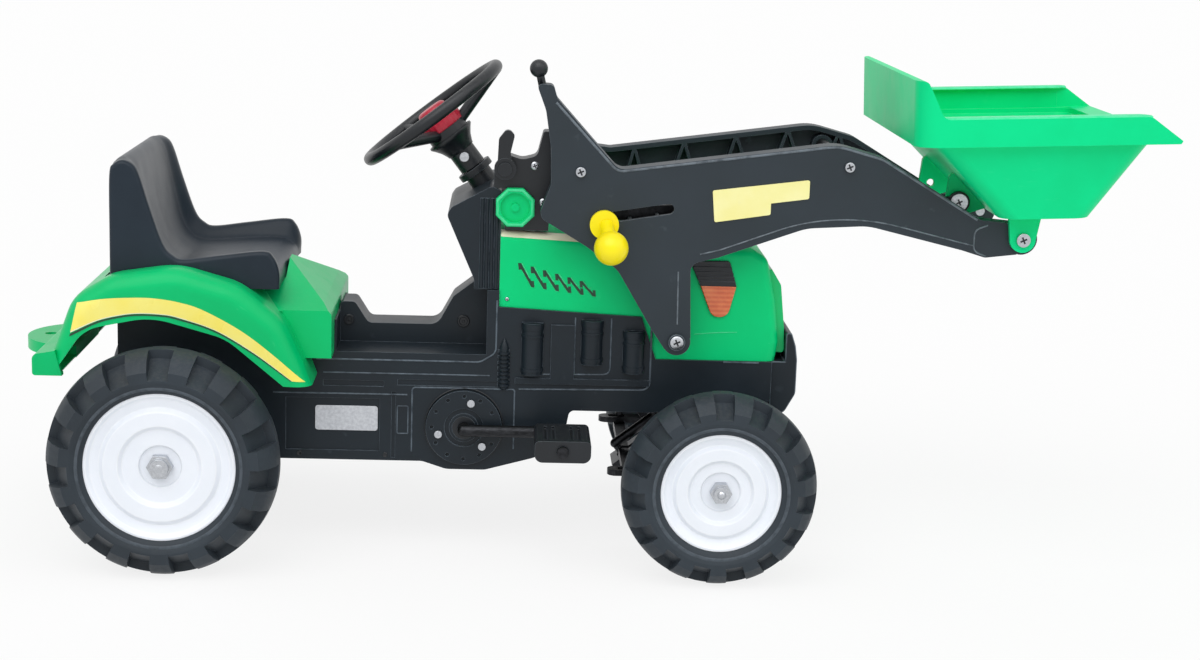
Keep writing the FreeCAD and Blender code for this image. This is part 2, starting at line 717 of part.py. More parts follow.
def make_knuckle():
    # Right-hand knuckle: block on the kingpin, stub axle and steering arm
    x, z = front_axle_x, front_axle_z
    block = rod_z(x, -kingpin_y, knuckle_radius, z - knuckle_half_height, z + knuckle_half_height)
    stub = rod_y(x, z, stub_radius, -front_out + 4.5, -kingpin_y)
    arm_low = z - 4
    arm = box(tie_rod_x - 14, x, -kingpin_y - 9, -kingpin_y + 9, arm_low, arm_low + 6)
    tip = rod_z(tie_rod_x - 14, -kingpin_y, 9, arm_low, arm_low + 6)
    slot = box(tie_rod_x - 12, tie_rod_x + 6, -kingpin_y - link_pin_radius - loose,
               -kingpin_y + link_pin_radius + loose, arm_low - 1, arm_low + 7)
    knuckle = joined([block, stub, arm, tip]).cut(slot)
    return knuckle.cut(rod_z(x, -kingpin_y, kingpin_radius + run, z - 30, z + 30))


def make_tie_rod():
    top = front_axle_z - 4 - loose
    bar = box(tie_rod_x - 6, tie_rod_x + 6, -kingpin_y - 7, kingpin_y + 7, top - 8, top)
    pieces = [bar]
    for side in (-1, 1):
        pieces.append(rod_z(tie_rod_x, side * kingpin_y, link_pin_radius, top, top + 12))
    t, across = drop_pin_place()
    pieces.append(column_block(t - 4, t + 4, across - 14, across + 24, 22))
    rod_shape = joined(pieces)
    half = drop_pin_radius + loose
    rise = drop_crank * (1 - math.cos(math.radians(steer_swing)))
    slot = column_block(t - 30, t + 30, across - half - 1, across + rise + half + 1, half)
    return rod_shape.cut(slot)


def drop_pin_place():
    # Where the cranked end of the column crosses the tie rod, along and across the column
    t = (tie_rod_x - column_top[0] + drop_crank * across_column.x) / down_column.x
    return t, -drop_crank


def make_shaft():
    t, across = drop_pin_place()
    start = t - 16
    shaft = rod(column(30), column(start), shaft_radius)
    web = rod(column(start), column(start, across), shaft_radius - 1)
    pin = rod(column(start, across), column(t + 10, across), drop_pin_radius)
    knee = Part.makeSphere(shaft_radius, column(start))
    heel = Part.makeSphere(shaft_radius - 1, column(start, across))
    return joined([shaft, web, pin, knee, heel]).cut(rod_y(bolt_x, bolt_z, 3 + slip, -20, 20))


def make_steering_wheel():
    rim = Part.makeTorus(steer_rim_radius, steer_rim_tube, column(0), down_column)
    hub = rod(column(6), column(hub_end), 14).fuse(rod(column(6), column(34), 22))
    hub = hub.cut(rod(column(0), column(28), horn_radius + gap))
    hub = hub.cut(rod(column(20), column(80), shaft_radius + slip))
    spokes = []
    for angle in (90, 210, 330):
        a = math.radians(angle)
        out = across_column * math.sin(a) + V(0, 1, 0) * math.cos(a)
        spokes.append(rod(column(22) + out * 18, column(1) + out * steer_rim_radius, 6))
    wheel = joined([rim] + spokes)
    wheel = wheel.cut(rod(column(-20), column(40), horn_radius + gap)).fuse(hub)
    return wheel.cut(rod_y(bolt_x, bolt_z, 3 + slip, -30, 30)).removeSplitter()


def make_horn_button():
    dome = rod(column(-6), column(16), horn_radius)
    dome = dome.makeFillet(5, [e for e in dome.Edges if e.CenterOfMass.distanceToPoint(column(-6)) < 0.1])
    return dome


def make_steering_bolt():
    head = rod_y(bolt_x, bolt_z, bolt_head, -18, -14)
    return joined([head, rod_y(bolt_x, bolt_z, 3, -14, 16), rod_y(bolt_x, bolt_z, 5, 14, 18)])


def make_collar():
    collar = rod(column(hub_end + 1), column(110), collar_radius)
    collar = collar.fuse(rod(column(hub_end + 1), column(hub_end + 8), collar_radius + 5))
    return collar.cut(rod(column(hub_end), column(120), shaft_radius + run))


# Loader arms
def arm_outline(with_lever):
    # The lever horn stands only on the right-hand arm
    top = [(32, 405, 14), (250, 436, 60), (296, 424, 40), (398, 364, 10), (436, 361), (436, 330),
           (404, 326, 8),
           (380, 333, 20), (284, 355, 60), (222, 351, 60), (134, 319, 14), (107, 312, 10), (110, 236),
           (84, 224),
           (71, 243, 12), (34, 304, 24), (2, 327, 20), (-47, 356, 10)]
    if with_lever:
        return [(-52, 488, 4), (-35, 487, 5), (-31, 474, 8)] + top + [(-35, 388, 16), (-36, 425, 30),
                                                                      (-42, 462, 30)]
    return [(-30, 412, 8)] + top + [(-36, 386, 12)]


def make_arm(with_lever):
    # Right-hand arm: outer plate, edge rim, crossing ribs and bosses
    y0, y1 = -arm_outer, -arm_inner
    outline = arm_outline(with_lever)
    arm = plate(outline, y0, y1)
    pocket = shrunk(outline, arm_rim, y0 + arm_plate, y1 + 1)
    zigzag = [(84, 250), (34, 310), (58, 406), (84, 322), (112, 414), (140, 326), (168, 422), (196, 348),
              (224, 430), (252, 356), (280, 428), (304, 352), (328, 400), (350, 342), (372, 376),
              (392, 330)]
    runs = list(zip(zigzag, zigzag[1:])) + [((-40, 420), (10, 404))]
    ribs = []
    for (x0, z0), (x1, z1) in runs:
        lean = V(x1 - x0, 0, z1 - z0).normalize()
        side = V(-lean.z, 0, lean.x) * 1.5
        a, b = V(x0, y0, z0), V(x1, y0, z1)
        wire = Part.makePolygon([a + side, b + side, b - side, a - side, a + side])
        ribs.append(Part.Face(wire).extrude(V(0, arm_depth, 0)))
    ribs = ribs[0].multiFuse(ribs[1:]).common(plate(outline, y0, y1))
    arm = arm.cut(pocket).fuse(ribs)
    bosses = [(pivot, pivot_boss), (bucket_pivot, tip_boss), (tie_front, tie_radius + 4),
              (tie_rear, tie_radius + 4)]
    for (x, z), radius in bosses:
        arm = arm.fuse(rod_y(x, z, radius, y0, y1))
    arm = arm.cut(rod_y(pivot[0], pivot[1], pivot_radius + run, y0 - 1, y1 + 1))
    arm = arm.cut(rod_y(bucket_pivot[0], bucket_pivot[1], bucket_pin_radius + slip, y0 - 1, y1 + 1))
    for x, z in (tie_front, tie_rear):
        arm = arm.cut(rod_y(x, z, tie_radius + slip, y0 + arm_plate, y1 + 1))
        arm = arm.cut(rod_y(x, z, 3 + slip, y0 - 1, y0 + arm_plate + 1))
    if with_lever:
        x, z = tilt_start
        half = tilt_stem_radius + gap
        far = x + tilt_slot_length
        slot = box(x, far, y0 - 1, y1 + 1, z - half, z + half)
        slot = slot.fuse(rod_y(x, z, half, y0 - 1, y1 + 1)).fuse(rod_y(far, z, half, y0 - 1, y1 + 1))
        arm = arm.cut(arc_copy(slot, x, z, -tilt_slope))
    return arm.removeSplitter()


def make_ties():
    reach = arm_outer - arm_plate
    ties = []
    for x, z in (tie_front, tie_rear):
        tie = rod_y(x, z, tie_radius, -reach, reach)
        for side in (-1, 1):
            y0, y1 = sorted((side * (reach - 20), side * (reach + 1)))
            tie = tie.cut(rod_y(x, z, 3 + slip, y0, y1))
        ties.append(tie)
    return Part.makeCompound(ties)


def make_tie_bolts():
    bolts = []
    for x, z in (tie_front, tie_rear):
        bolt = rod_y(x, z, bolt_head, -arm_outer - 4, -arm_outer).fuse(rod_y(x, z, 3, -arm_outer,
                                                                             -arm_outer + 22))
        bolts += [bolt, mirrored(bolt)]
    return Part.makeCompound(bolts)


def make_pivot_bracket():
    # Steel saddle under the hood that carries the loader pivots
    x, z = pivot
    half = hood_half - hood_wall - 4
    saddle = box(x - 14, x + 16, -half, half, hood_front_bottom, hood_front_bottom + 4)
    for side in (-1, 1):
        y0, y1 = sorted((side * half, side * (half - 6)))
        cheek = box(x - 14, x + 16, y0, y1, hood_front_bottom, z).fuse(rod_y(x, z, 14, y0, y1))
        saddle = saddle.fuse(cheek)
    return saddle.cut(rod_y(x, z, pivot_radius + slip, -half - 1, half + 1)).removeSplitter()


def make_pivot_pin():
    x, z = pivot
    head = rod_y(x, z, pivot_radius + 2.5, -arm_outer - 5, -arm_outer - gap)
    spacer = rod_y(x, z, 11, -arm_inner + gap, -hood_half)
    return joined([head, spacer, rod_y(x, z, pivot_radius, -arm_outer - 1, -50)])


def make_bucket_pin():
    x, z = bucket_pivot
    head = rod_y(x, z, bucket_pin_radius + 2, -lug_out - 4, -lug_out - gap)
    return head.fuse(rod_y(x, z, bucket_pin_radius, -lug_out - 1, -arm_inner))


# Bucket: a tapered tub with a rim band, a raised back plate, lugs and tabs
def tub_wire(x0, x1, half, z, radius):
    points = [V(x0, -half, z), V(x1, -half, z), V(x1, half, z), V(x0, half, z)]
    return rounded_wire([(p, radius) for p in points])


def make_bucket():
    low, brim, top = bucket_low, bucket_brim, bucket_top
    x, z = bucket_pivot
    inset = bucket_wall
    side = bucket_half - rim_band
    tub = Part.makeLoft([tub_wire(412, 502, bucket_floor_half, low, 18),
                         tub_wire(342, 556, side - 1, brim, 20)], True, True)
    space = Part.makeLoft([tub_wire(412 + inset, 502 - inset, bucket_floor_half - inset, low + inset, 14),
                           tub_wire(342 + inset, 556 - inset, side - inset, brim + 1, 16)], True, True)
    mouth = Part.Face(tub_wire(342 + inset, 556 - inset, side - inset, brim - 1, 16)).extrude(V(0, 0, 100))
    # Rim band and raised back, wrapped round the rear corners and running out to the tips of the lip
    band = [(315, brim), (315, back_top), (331, back_top, 6), (347, top, 10), (549, top, 10),
            (580.5, brim + 3, 1),
            (578.5, brim, 1)]
    outside = rounded_wire([(V(321, -bucket_half, brim), 22), (V(600, -bucket_half, brim), 0),
                            (V(600, bucket_half, brim), 0), (V(321, bucket_half, brim), 22)])
    rim = plate(band, -bucket_half - 1, bucket_half + 1).common(Part.Face(outside).extrude(V(0, 0, 100)))
    rim = rim.cut(box(540, 600, -side, side, brim + bucket_wall + 1, top + 1))
    well = Part.makeLoft([tub_wire(342, 556 - inset, side, brim + 4, 14),
                          tub_wire(332, 556 - inset, side, back_top + 4, 14)], True, True)
    bucket = joined([tub, rim]).cut(space).cut(mouth).cut(well)
    bucket.rotate(V(x, 0, z), up_y, -bucket_lean)
    # Lugs outside the arm tips, and tabs for the tilt rod between the arms
    lug = plate([(x - 17, low + 10), (x - 13, z), (x + 13, z), (x + 19, low + 10)], -lug_out, -lug_in)
    lug = lug.fuse(rod_y(x, z, 13, -lug_out, -lug_in))
    tab = make_tab(low)
    bucket = joined([bucket, lug, mirrored(lug), tab, mirrored(tab)])
    bucket = bucket.cut(arc_copy(space, x, z, -bucket_lean))
    return bucket.cut(rod_y(x, z, bucket_pin_radius + run, -200, 200)).removeSplitter()


def make_tab(low):
    # Ear under the rear corner of the tub, with the eye of the tilt linkage
    px, pz = tab_pin
    ear = plate([(px - 13, pz - 6, 5), (px - 10, pz + 26, 4), (px + 4, pz + 36), (px + 44, low + 6),
                 (px + 8, pz - 13, 8)], -tab_out, -tab_out + tab_thickness)
    return ear.cut(rod_y(px, pz, tab_pin_radius + slip, -tab_out - 1, -tab_out + tab_thickness + 1))


# Bucket tilt: knob in the arm slot and push rod to the bucket tab
def make_tilt_knob():
    x, z = tilt_start
    flange = rod_y(x - 5, z - 7, 14.5, -arm_outer - 6, -arm_outer - gap)
    neck = rod(V(x - 3, -arm_outer - 5, z - 7), V(x + 1, -145, z - 25), 7)
    ball = Part.makeSphere(17, V(x + 1, -145, z - 25))
    stem = rod_y(x, z, tilt_stem_radius, -arm_outer - 4, -push_in + 1)
    return joined([flange, neck, ball, stem])


def make_push_rod():
    # Flat link from the knob stem to the loose eye on the tab pin
    x, z = tilt_start
    x1, z1 = tab_pin
    bar = plate([(x, z - 7), (x1, z1 - 6), (x1, z1 + 6), (x, z + 7)], -push_out, -push_in)
    link = joined([bar, rod_y(x, z, 10, -push_out, -push_in), rod_y(x1, z1, 11, -push_out, -push_in)])
    link = link.cut(rod_y(x, z, tilt_stem_radius + run, -push_out - 1, -push_in + 1))
    return link.cut(rod_y(x1, z1, tab_pin_radius + tab_play, -push_out - 1, -push_in + 1))


def make_tab_pin():
    x, z = tab_pin
    head = rod_y(x, z, 9, -push_out - 1 - gap, -push_out - gap)
    return head.fuse(rod_y(x, z, tab_pin_radius, -push_out - gap, -tab_out + tab_thickness))


# Toy gear lever on the hood
def make_lever_bracket():
    outline = [(-92, 378.5), (-92, 396, 6), (-80, 413, 5), (-64, 408, 14), (-49, 412, 8), (-43, 437, 3),
               (-34, 437, 4),
               (-32, 404, 8), (-36, 336), (-80, 336), (-80, 378.5)]
    bracket = plate(outline, -lever_face, -lever_face + 26)
    bracket = bracket.cut(box(-86, -46, -lever_face + 5, 0, 344, 392))
    bracket = bracket.cut(nodes["hood"]).cut(nodes["dash_console"])
    return bracket.cut(rod_y(cap_x, cap_z, 4 + slip, -lever_face - 1, -lever_face + 6))


def make_gear_lever():
    x, z = lever
    arm = plate([(x - 8, z), (x - 7, z + 30, 6), (x + 2, z + 42, 5), (x + 9, z + 34, 4),
                 (x + 5, z + 16, 10), (x + 8, z)],
                -lever_face - 9, -lever_face - gap)
    boss = rod_y(x, z, 11, -lever_face - 10, -lever_face - gap)
    return arm.fuse(boss).cut(rod_y(x, z, 4 + run, -lever_face - 12, -lever_face + 1))


def make_lever_pin():
    x, z = lever
    head = rod_y(x, z, 7, -lever_face - 13, -lever_face - 10 - gap)
    return head.fuse(rod_y(x, z, 4, -lever_face - 11, -lever_face + 24))


def make_cap():
    # Octagon cap on the outer face of the lever bracket
    sides = [(cap_x + 21 * math.cos(math.radians(22.5 + 45 * i)),
              cap_z + 21 * math.sin(math.radians(22.5 + 45 * i)))
             for i in range(8)]
    cap = plate(sides, -lever_face - 8, -lever_face)
    cap = cap.cut(rod_y(cap_x, cap_z, 15, -lever_face - 8, -lever_face - 4))
    cap = cap.fuse(rod_y(cap_x, cap_z, 4, -lever_face - 7, -lever_face + 5))
    return cap.cut(nodes["dash_console"])


def make_side_plate():
    # Bare metal badge plate in the beam panel
    return plate([(-270, 124, 3), (-270, 150, 3), (-206, 150, 3), (-206, 124, 3)], -body_half + 0.5,
                 -body_half + 1.5)


def make_arm_plate():
    # Bare yellow plate on the arm
    y1 = -arm_outer
    return plate([(126, 387, 2), (223, 400, 2), (223, 381, 2), (185, 375.5), (185, 364, 2),
                  (129, 355, 2)], y1 - 1.2, y1)


def make_horn_spring():
    # Wound spring between the hub floor and the button
    height = horn_spring_end - horn_spring_start - 2 * horn_wire
    helix = Part.makeHelix(height / horn_turns, height, 8.0)
    ring = Part.Wire(Part.makeCircle(horn_wire, V(8.0, 0, 0), V(0, 1, 0)))
    coil = Part.Wire(helix).makePipeShell([ring], True, True)
    turn = FreeCAD.Rotation(across_column, V(0, -1, 0), down_column, "ZXY")
    coil.Placement = FreeCAD.Placement(column(horn_spring_start + horn_wire), turn)
    print("spring turn gap", round(height / horn_turns - 2 * horn_wire, 2))
    return coil


# Places that several pieces share
horn_spring_start = 16.0 + 0.1
horn_spring_end = 28.0 - 0.1
horn_wire = 0.7
horn_turns = 4
collar_radius = 14.0
hub_end = 69.0
horn_radius = 16.5
bolt_x = column(55).x
bolt_z = column(55).z
cap_x = -70.0
cap_z = 360.0
lever_face = dash_half
lever = (-81.0, 399.0)
seat_screw_x = (-440.0, -340.0)
seat_screw_y = seat_half - seat_panel / 2
tie_front = (262.0, 414.0)
tie_rear = (-6.0, 402.0)
lug_in = arm_outer + gap
lug_out = lug_in + 6.0
tab_out = 75.0
push_out = arm_inner - 2.0
push_in = push_out - 5.0
rear_hub_in = body_half + 3.0

keep("body_shell", make_body())
keep("dash_console", make_dash())
keep("hood", make_hood())
lamp_upper, lamp_lower = make_lamps()
keep("headlamps", pair(lamp_upper))
keep("indicator_lenses", pair(lamp_lower))
keep("grille", make_grille())
keep("front_bumper", make_bumper())
keep("rear_fender", make_fender())
keep("seat", make_seat())
keep("seat_screws", make_seat_screws())
keep("crank_covers", pair(make_cover()))
keep("crank_cover_bolts", make_cover_bolts())
crank_bush = make_bush(crank_x, crank_z, crank_radius, crank_sleeve, body_half + cover_thickness,
                       body_half - wall)
keep("crank_bushes", pair(crank_bush))
axle_bush = make_bush(rear_axle_x, rear_axle_z, axle_radius, axle_sleeve, body_half + 2, body_half - wall)
keep("rear_axle_bushes", pair(axle_bush))
keep("gear_lever_bracket", joined([make_lever_bracket(), make_lever_pin()]))
keep("gear_lever", make_gear_lever())
keep("side_cap", make_cap())

keep("rear_axle", rod_y(rear_axle_x, rear_axle_z, axle_radius, -half_width + 8, half_width - 8))
keep("rear_sprocket", sprocket(rear_axle_x, rear_axle_z, axle_radius))
keep("crank_sprocket", sprocket(crank_x, crank_z, crank_radius))
keep("drive_chain", make_chain())
keep("crank", make_crank())
keep("pedal_right", make_pedal(-1))
keep("pedal_left", make_pedal(1))

rear_tyre = make_tyre(rear_tyre_radius, rear_rim_radius, rear_tyre_in, half_width, rear_axle_x, rear_axle_z)
rear_rim = make_rim(rear_rim_radius, rear_tyre_in, half_width, rear_hub_in, axle_radius + run,
                    rear_axle_x, rear_axle_z)
front_tyre = make_tyre(front_tyre_radius, front_rim_radius, front_tyre_in, front_out, front_axle_x,
                       front_axle_z)
front_rim = make_rim(front_rim_radius, front_tyre_in, front_out, kingpin_y + knuckle_radius + 3,
                     stub_radius + run,
                     front_axle_x, front_axle_z)
for name, shape in (("rear_tyre", rear_tyre), ("rear_rim", rear_rim), ("front_tyre", front_tyre),
                    ("front_rim", front_rim)):
    keep(name + "_right", shape)
    keep(name + "_left", mirrored(shape))
rear_nut = make_nut(rear_axle_x, rear_axle_z, half_width - 15 + gap, half_width - 3, 13, axle_radius + slip)
keep("rear_nuts", pair(rear_nut))
front_nut = make_nut(front_axle_x, front_axle_z, front_out - 15 + gap, front_out - 1, 11,
                     stub_radius + slip)
keep("front_nut_right", front_nut)
keep("front_nut_left", mirrored(front_nut))

keep("front_axle_beam", make_axle_beam())
keep("kingpins", pair(make_kingpin()))
knuckle = make_knuckle()
keep("knuckle_right", knuckle)
keep("knuckle_left", mirrored(knuckle))
keep("tie_rod", make_tie_rod())
keep("steering_shaft", make_shaft())
keep("steering_wheel", make_steering_wheel())
keep("steering_bolt", make_steering_bolt())
keep("horn_button", make_horn_button())
keep("column_collar", make_collar())
keep("horn_spring", make_horn_spring())
keep("side_plates", pair(make_side_plate()))
keep("arm_plates", pair(make_arm_plate()))

keep("loader_pivot_bracket", make_pivot_bracket())
keep("loader_pivot_pins", pair(make_pivot_pin()))
keep("loader_arm_right", make_arm(True))
keep("loader_arm_left", mirrored(make_arm(False)))
keep("loader_ties", make_ties())
keep("loader_tie_bolts", make_tie_bolts())
ball_place = V(-50.0, -arm_outer + arm_depth / 2, 502.0)
ball = Part.makeSphere(9, ball_place)
neck = rod(ball_place, V(-46, ball_place.y, 485), 4)
keep("lever_ball", ball.fuse(neck).cut(nodes["loader_arm_right"]))
keep("bucket_pins", pair(make_bucket_pin()))
keep("bucket", make_bucket())
keep("tilt_knob", make_tilt_knob())
keep("push_rod", make_push_rod())
keep("tab_pin", make_tab_pin())

os.makedirs("parts", exist_ok=True)
for name, shape in nodes.items():
    if not shape.isValid():
        print("not valid:", name)
    print(name, len(shape.Solids), round(shape.Volume))
    shape.exportStep("parts/" + name + ".step")
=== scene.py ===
from math import acos, cos, pi, radians, sin, tan
import bmesh
import bpy
from mathutils import Matrix, Vector
from mathutils.bvhtree import BVHTree
from mathutils.geometry import tessellate_polygon


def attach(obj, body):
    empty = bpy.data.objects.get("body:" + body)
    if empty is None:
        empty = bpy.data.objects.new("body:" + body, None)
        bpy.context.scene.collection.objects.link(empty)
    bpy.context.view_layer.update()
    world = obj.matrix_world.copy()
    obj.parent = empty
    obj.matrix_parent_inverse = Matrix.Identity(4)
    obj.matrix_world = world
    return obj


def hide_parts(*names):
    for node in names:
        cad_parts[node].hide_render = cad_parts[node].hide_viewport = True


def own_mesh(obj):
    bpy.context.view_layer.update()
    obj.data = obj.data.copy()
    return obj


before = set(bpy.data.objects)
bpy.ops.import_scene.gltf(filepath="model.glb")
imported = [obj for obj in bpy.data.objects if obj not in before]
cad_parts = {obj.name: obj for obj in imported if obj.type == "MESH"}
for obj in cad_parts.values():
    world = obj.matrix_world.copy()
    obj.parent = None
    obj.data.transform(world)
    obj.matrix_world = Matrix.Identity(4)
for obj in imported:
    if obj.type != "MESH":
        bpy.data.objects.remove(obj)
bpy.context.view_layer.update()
scene = bpy.context.scene
scene.view_settings.view_transform = "Standard"
print("frame loaded:", len(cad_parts), "nodes")


# colours are written as they look on screen, 0 to 255
def paint(r, g, b):
    lin = [((c / 255 + 0.055) / 1.055) ** 2.4 if c > 10 else c / 255 / 12.92 for c in (r, g, b)]
    return (lin[0], lin[1], lin[2], 1.0)


# camera at the photograph's viewing angle
camSpec = {"place": (-0.07855, -2.19033, 0.66755), "yaw": 2.662, "pitch": 11.529, "roll": 1.892,
           "lens": 63.318, "sensor": 36.0, "clipEnd": 200.0}


def makeCamera():
    yaw, pitch, roll = (radians(camSpec[k]) for k in ("yaw", "pitch", "roll"))
    ahead = Vector((sin(yaw) * cos(pitch), cos(yaw) * cos(pitch), -sin(pitch)))
    right = Vector((cos(yaw), -sin(yaw), 0))
    up = right.cross(ahead)
    sideways = right * cos(roll) + up * sin(roll)
    upward = up * cos(roll) - right * sin(roll)
    cam = bpy.data.cameras.new("photoCamera")
    cam.lens = camSpec["lens"]
    cam.sensor_width = camSpec["sensor"]
    cam.clip_end = camSpec["clipEnd"]
    camObj = bpy.data.objects.new("photoCamera", cam)
    scene.collection.objects.link(camObj)
    turn = Matrix((sideways, upward, -ahead)).transposed().to_4x4()
    camObj.matrix_world = Matrix.Translation(camSpec["place"]) @ turn
    scene.camera = camObj


makeCamera()
print("camera placed")


def newMaterial(name):
    mat = bpy.data.materials.new(name)
    mat.use_nodes = True
    return mat, mat.node_tree, mat.node_tree.nodes["Principled BSDF"]


# a socket takes a plain value, or a link from another node's output
def feed(sock, source):
    if isinstance(source, bpy.types.NodeSocket):
        sock.id_data.links.new(source, sock)
    else:
        sock.default_value = source


# an underscore stands for the space in a socket's name
def setInputs(node, **sources):
    for label, source in sources.items():
        feed(node.inputs[label.replace("_", " ")], source)


def addNode(tree, kind, **sources):
    node = tree.nodes.new("ShaderNode" + kind)
    setInputs(node, **sources)
    return node


def addMath(operation, first, second, clamp=False):
    node = addNode(first.id_data, "Math")
    node.operation = operation
    node.use_clamp = clamp
    feed(node.inputs[0], first)
    feed(node.inputs[1], second)
    return node.outputs[0]


# plain pale floor that keeps the shadow, white surround, two soft suns
stageSpec = {"floorHalf": 70.0, "floorColour": (247, 247, 247), "floorRough": 0.9, "floorShine": 0.1,
             "floorGlow": 0.82, "surround": 0.55, "keySun": 1.35, "keyTurn": (38, 0, -24), "fillSun": 0.55,
             "fillTurn": (52, 0, 48), "sunSize": 55}


# 1 where the camera, a mirror or a clear pane looks at the backdrop, 0 for other light
def addSeen(tree):
    path = addNode(tree, "LightPath")
    seen = addMath("MAXIMUM", path.outputs["Is Camera Ray"], path.outputs["Is Glossy Ray"])
    return addMath("MAXIMUM", seen, path.outputs["Is Transmission Ray"])


def makeStage():
    spec = stageSpec
    mesh = bpy.data.meshes.new("floor")
    h = spec["floorHalf"]
    mesh.from_pydata([(-h, -h, 0), (h, -h, 0), (h, h, 0), (-h, h, 0)], [], [(0, 1, 2, 3)])
    floor = bpy.data.objects.new("floor", mesh)
    scene.collection.objects.link(floor)
    mat, tree, shader = newMaterial("floorCard")
    setInputs(shader, Base_Color=paint(*spec["floorColour"]), Roughness=spec["floorRough"],
              Specular_IOR_Level=spec["floorShine"])
    both = addNode(tree, "MixShader", Fac=addMath("MULTIPLY", addSeen(tree), spec["floorGlow"]))
    feed(both.inputs[1], shader.outputs[0])
    feed(both.inputs[2], addNode(tree, "Emission").outputs[0])
    setInputs(tree.nodes["Material Output"], Surface=both.outputs[0])
    mesh.materials.append(mat)

    world = bpy.data.worlds.new("softRoom")
    scene.world = world
    world.use_nodes = True
    tree = world.node_tree
    level = addNode(tree, "MapRange", Value=addSeen(tree), To_Min=spec["surround"], To_Max=1.0)
    setInputs(tree.nodes["Background"], Color=(1, 1, 1, 1), Strength=level.outputs["Result"])

    for name in ("key", "fill"):
        sun = bpy.data.lights.new(name + "Sun", "SUN")
        sun.energy = spec[name + "Sun"]
        sun.angle = radians(spec["sunSize"])
        sunObj = bpy.data.objects.new(name + "Sun", sun)
        sunObj.rotation_euler = [radians(a) for a in spec[name + "Turn"]]
        scene.collection.objects.link(sunObj)


makeStage()
print("stage and lights made")


# shader node groups that several finishes share
def newGroup(name, ins, outs):
    tree = bpy.data.node_groups.new(name, "ShaderNodeTree")
    for label, value in ins:
        sock = tree.interface.new_socket(name=label, in_out="INPUT", socket_type="NodeSocketFloat")
        sock.default_value = value
    for label in outs:
        tree.interface.new_socket(name=label, in_out="OUTPUT", socket_type="NodeSocketFloat")
    return tree, tree.nodes.new("NodeGroupInput").outputs, tree.nodes.new("NodeGroupOutput")


def addNoise(place, scale, detail, rough):
    node = addNode(place.id_data, "TexNoise", Vector=place, Scale=scale, Detail=detail, Roughness=rough)
    return node.outputs["Fac"]


def addRange(value, low, high, toLow=0.0, toHigh=1.0):
    node = addNode(value.id_data, "MapRange", Value=value, From_Min=low, From_Max=high, To_Min=toLow,
                   To_Max=toHigh)
    node.interpolation_type = "SMOOTHSTEP"
    return node.outputs["Result"]


# fine spark-eroded grain of an injection mould, with slow swirls in the colour
grainSpec = {"fine": (2.0, 0.6), "cells": 0.5, "slow": (4.0, 0.6), "swirl": (0.3, 0.7)}


def makeMouldGrain():
    spec = grainSpec
    tree, ins, outs = newGroup("mouldGrain", [("Grain Scale", 900.0), ("Swirl Scale", 14.0)],
                               ["Height", "Swirl"])
    place = addNode(tree, "TexCoord").outputs["Object"]
    fine = addNoise(place, ins["Grain Scale"], *spec["fine"])
    cells = addNode(tree, "TexVoronoi", Vector=place, Scale=ins["Grain Scale"])
    both = addMath("ADD", fine, addMath("MULTIPLY", cells.outputs["Distance"], spec["cells"]))
    swirl = addNoise(place, ins["Swirl Scale"], *spec["slow"])
    setInputs(outs, Height=both, Swirl=addRange(swirl, *spec["swirl"]))
    return tree


# thin handling scratches in two directions, and rubbed patches
handlingSpec = {"strokes": [(0.5, (1, 30, 1)), (-0.9, (26, 1, 22))], "skew": (1, 0.7, 1.3),
                "noise": (2.0, 0.5), "thin": (0.66, 0.74), "patches": (18.0, 3.0, 0.6), "where": (0.48, 0.66)}


def makeHandling():
    spec = handlingSpec
    tree, ins, outs = newGroup("handlingMarks", [("Amount", 0.5), ("Size", 60.0)], ["Scratches", "Rubbed"])
    place = addNode(tree, "TexCoord").outputs["Object"]
    lines = None
    for turn, stretch in spec["strokes"]:
        mapping = addNode(tree, "Mapping", Vector=place, Rotation=[turn * k for k in spec["skew"]],
                          Scale=stretch)
        streak = addNoise(mapping.outputs["Vector"], ins["Size"], *spec["noise"])
        thin = addRange(streak, *spec["thin"])
        lines = thin if lines is None else addMath("MAXIMUM", lines, thin)
    where = addRange(addNoise(place, *spec["patches"]), *spec["where"])
    marks = addMath("MULTIPLY", addMath("MULTIPLY", lines, where), ins["Amount"], True)
    setInputs(outs, Scratches=marks, Rubbed=addMath("MULTIPLY", where, ins["Amount"], True))
    return tree


# painted highlight for the rounded edges: a paler edge colour laid on them in broken patches
paintedEdgeHighlightSpec = {"noise": (4.0, 0.65), "broken": (0.28, 0.62, 0.3, 1.0)}


def makePaintedEdgeHighlight():
    tree, ins, outs = newGroup("paintedEdgeHighlight", [("Amount", 0.5), ("Size", 90.0)], ["Mask"])
    place = addNode(tree, "TexCoord").outputs["Object"]
    noise = addNoise(place, ins["Size"], *paintedEdgeHighlightSpec["noise"])
    broken = addRange(noise, *paintedEdgeHighlightSpec["broken"])
    setInputs(outs, Mask=addMath("MULTIPLY", broken, ins["Amount"], True))
    return tree


# settled dust on faces that look up
dustSpec = {"facing": (0.35, 1.0), "noise": (240.0, 5.0, 0.7), "speck": (0.38, 0.72)}


def makeDust():
    spec = dustSpec
    tree, ins, outs = newGroup("settledDust", [("Amount", 0.3)], ["Mask"])
    coord = addNode(tree, "TexCoord")
    split = addNode(tree, "SeparateXYZ", Vector=coord.outputs["Normal"])
    facing = addRange(split.outputs["Z"], *spec["facing"])
    speck = addRange(addNoise(coord.outputs["Object"], *spec["noise"]), *spec["speck"])
    setInputs(outs, Mask=addMath("MULTIPLY", addMath("MULTIPLY", facing, speck), ins["Amount"], True))
    return tree


# lines left by drawing or turning a metal
drawnSpec = {"stretch": (0.6, 8.0, 0.6), "noise": (4.0, 0.6), "streak": (0.3, 0.7)}


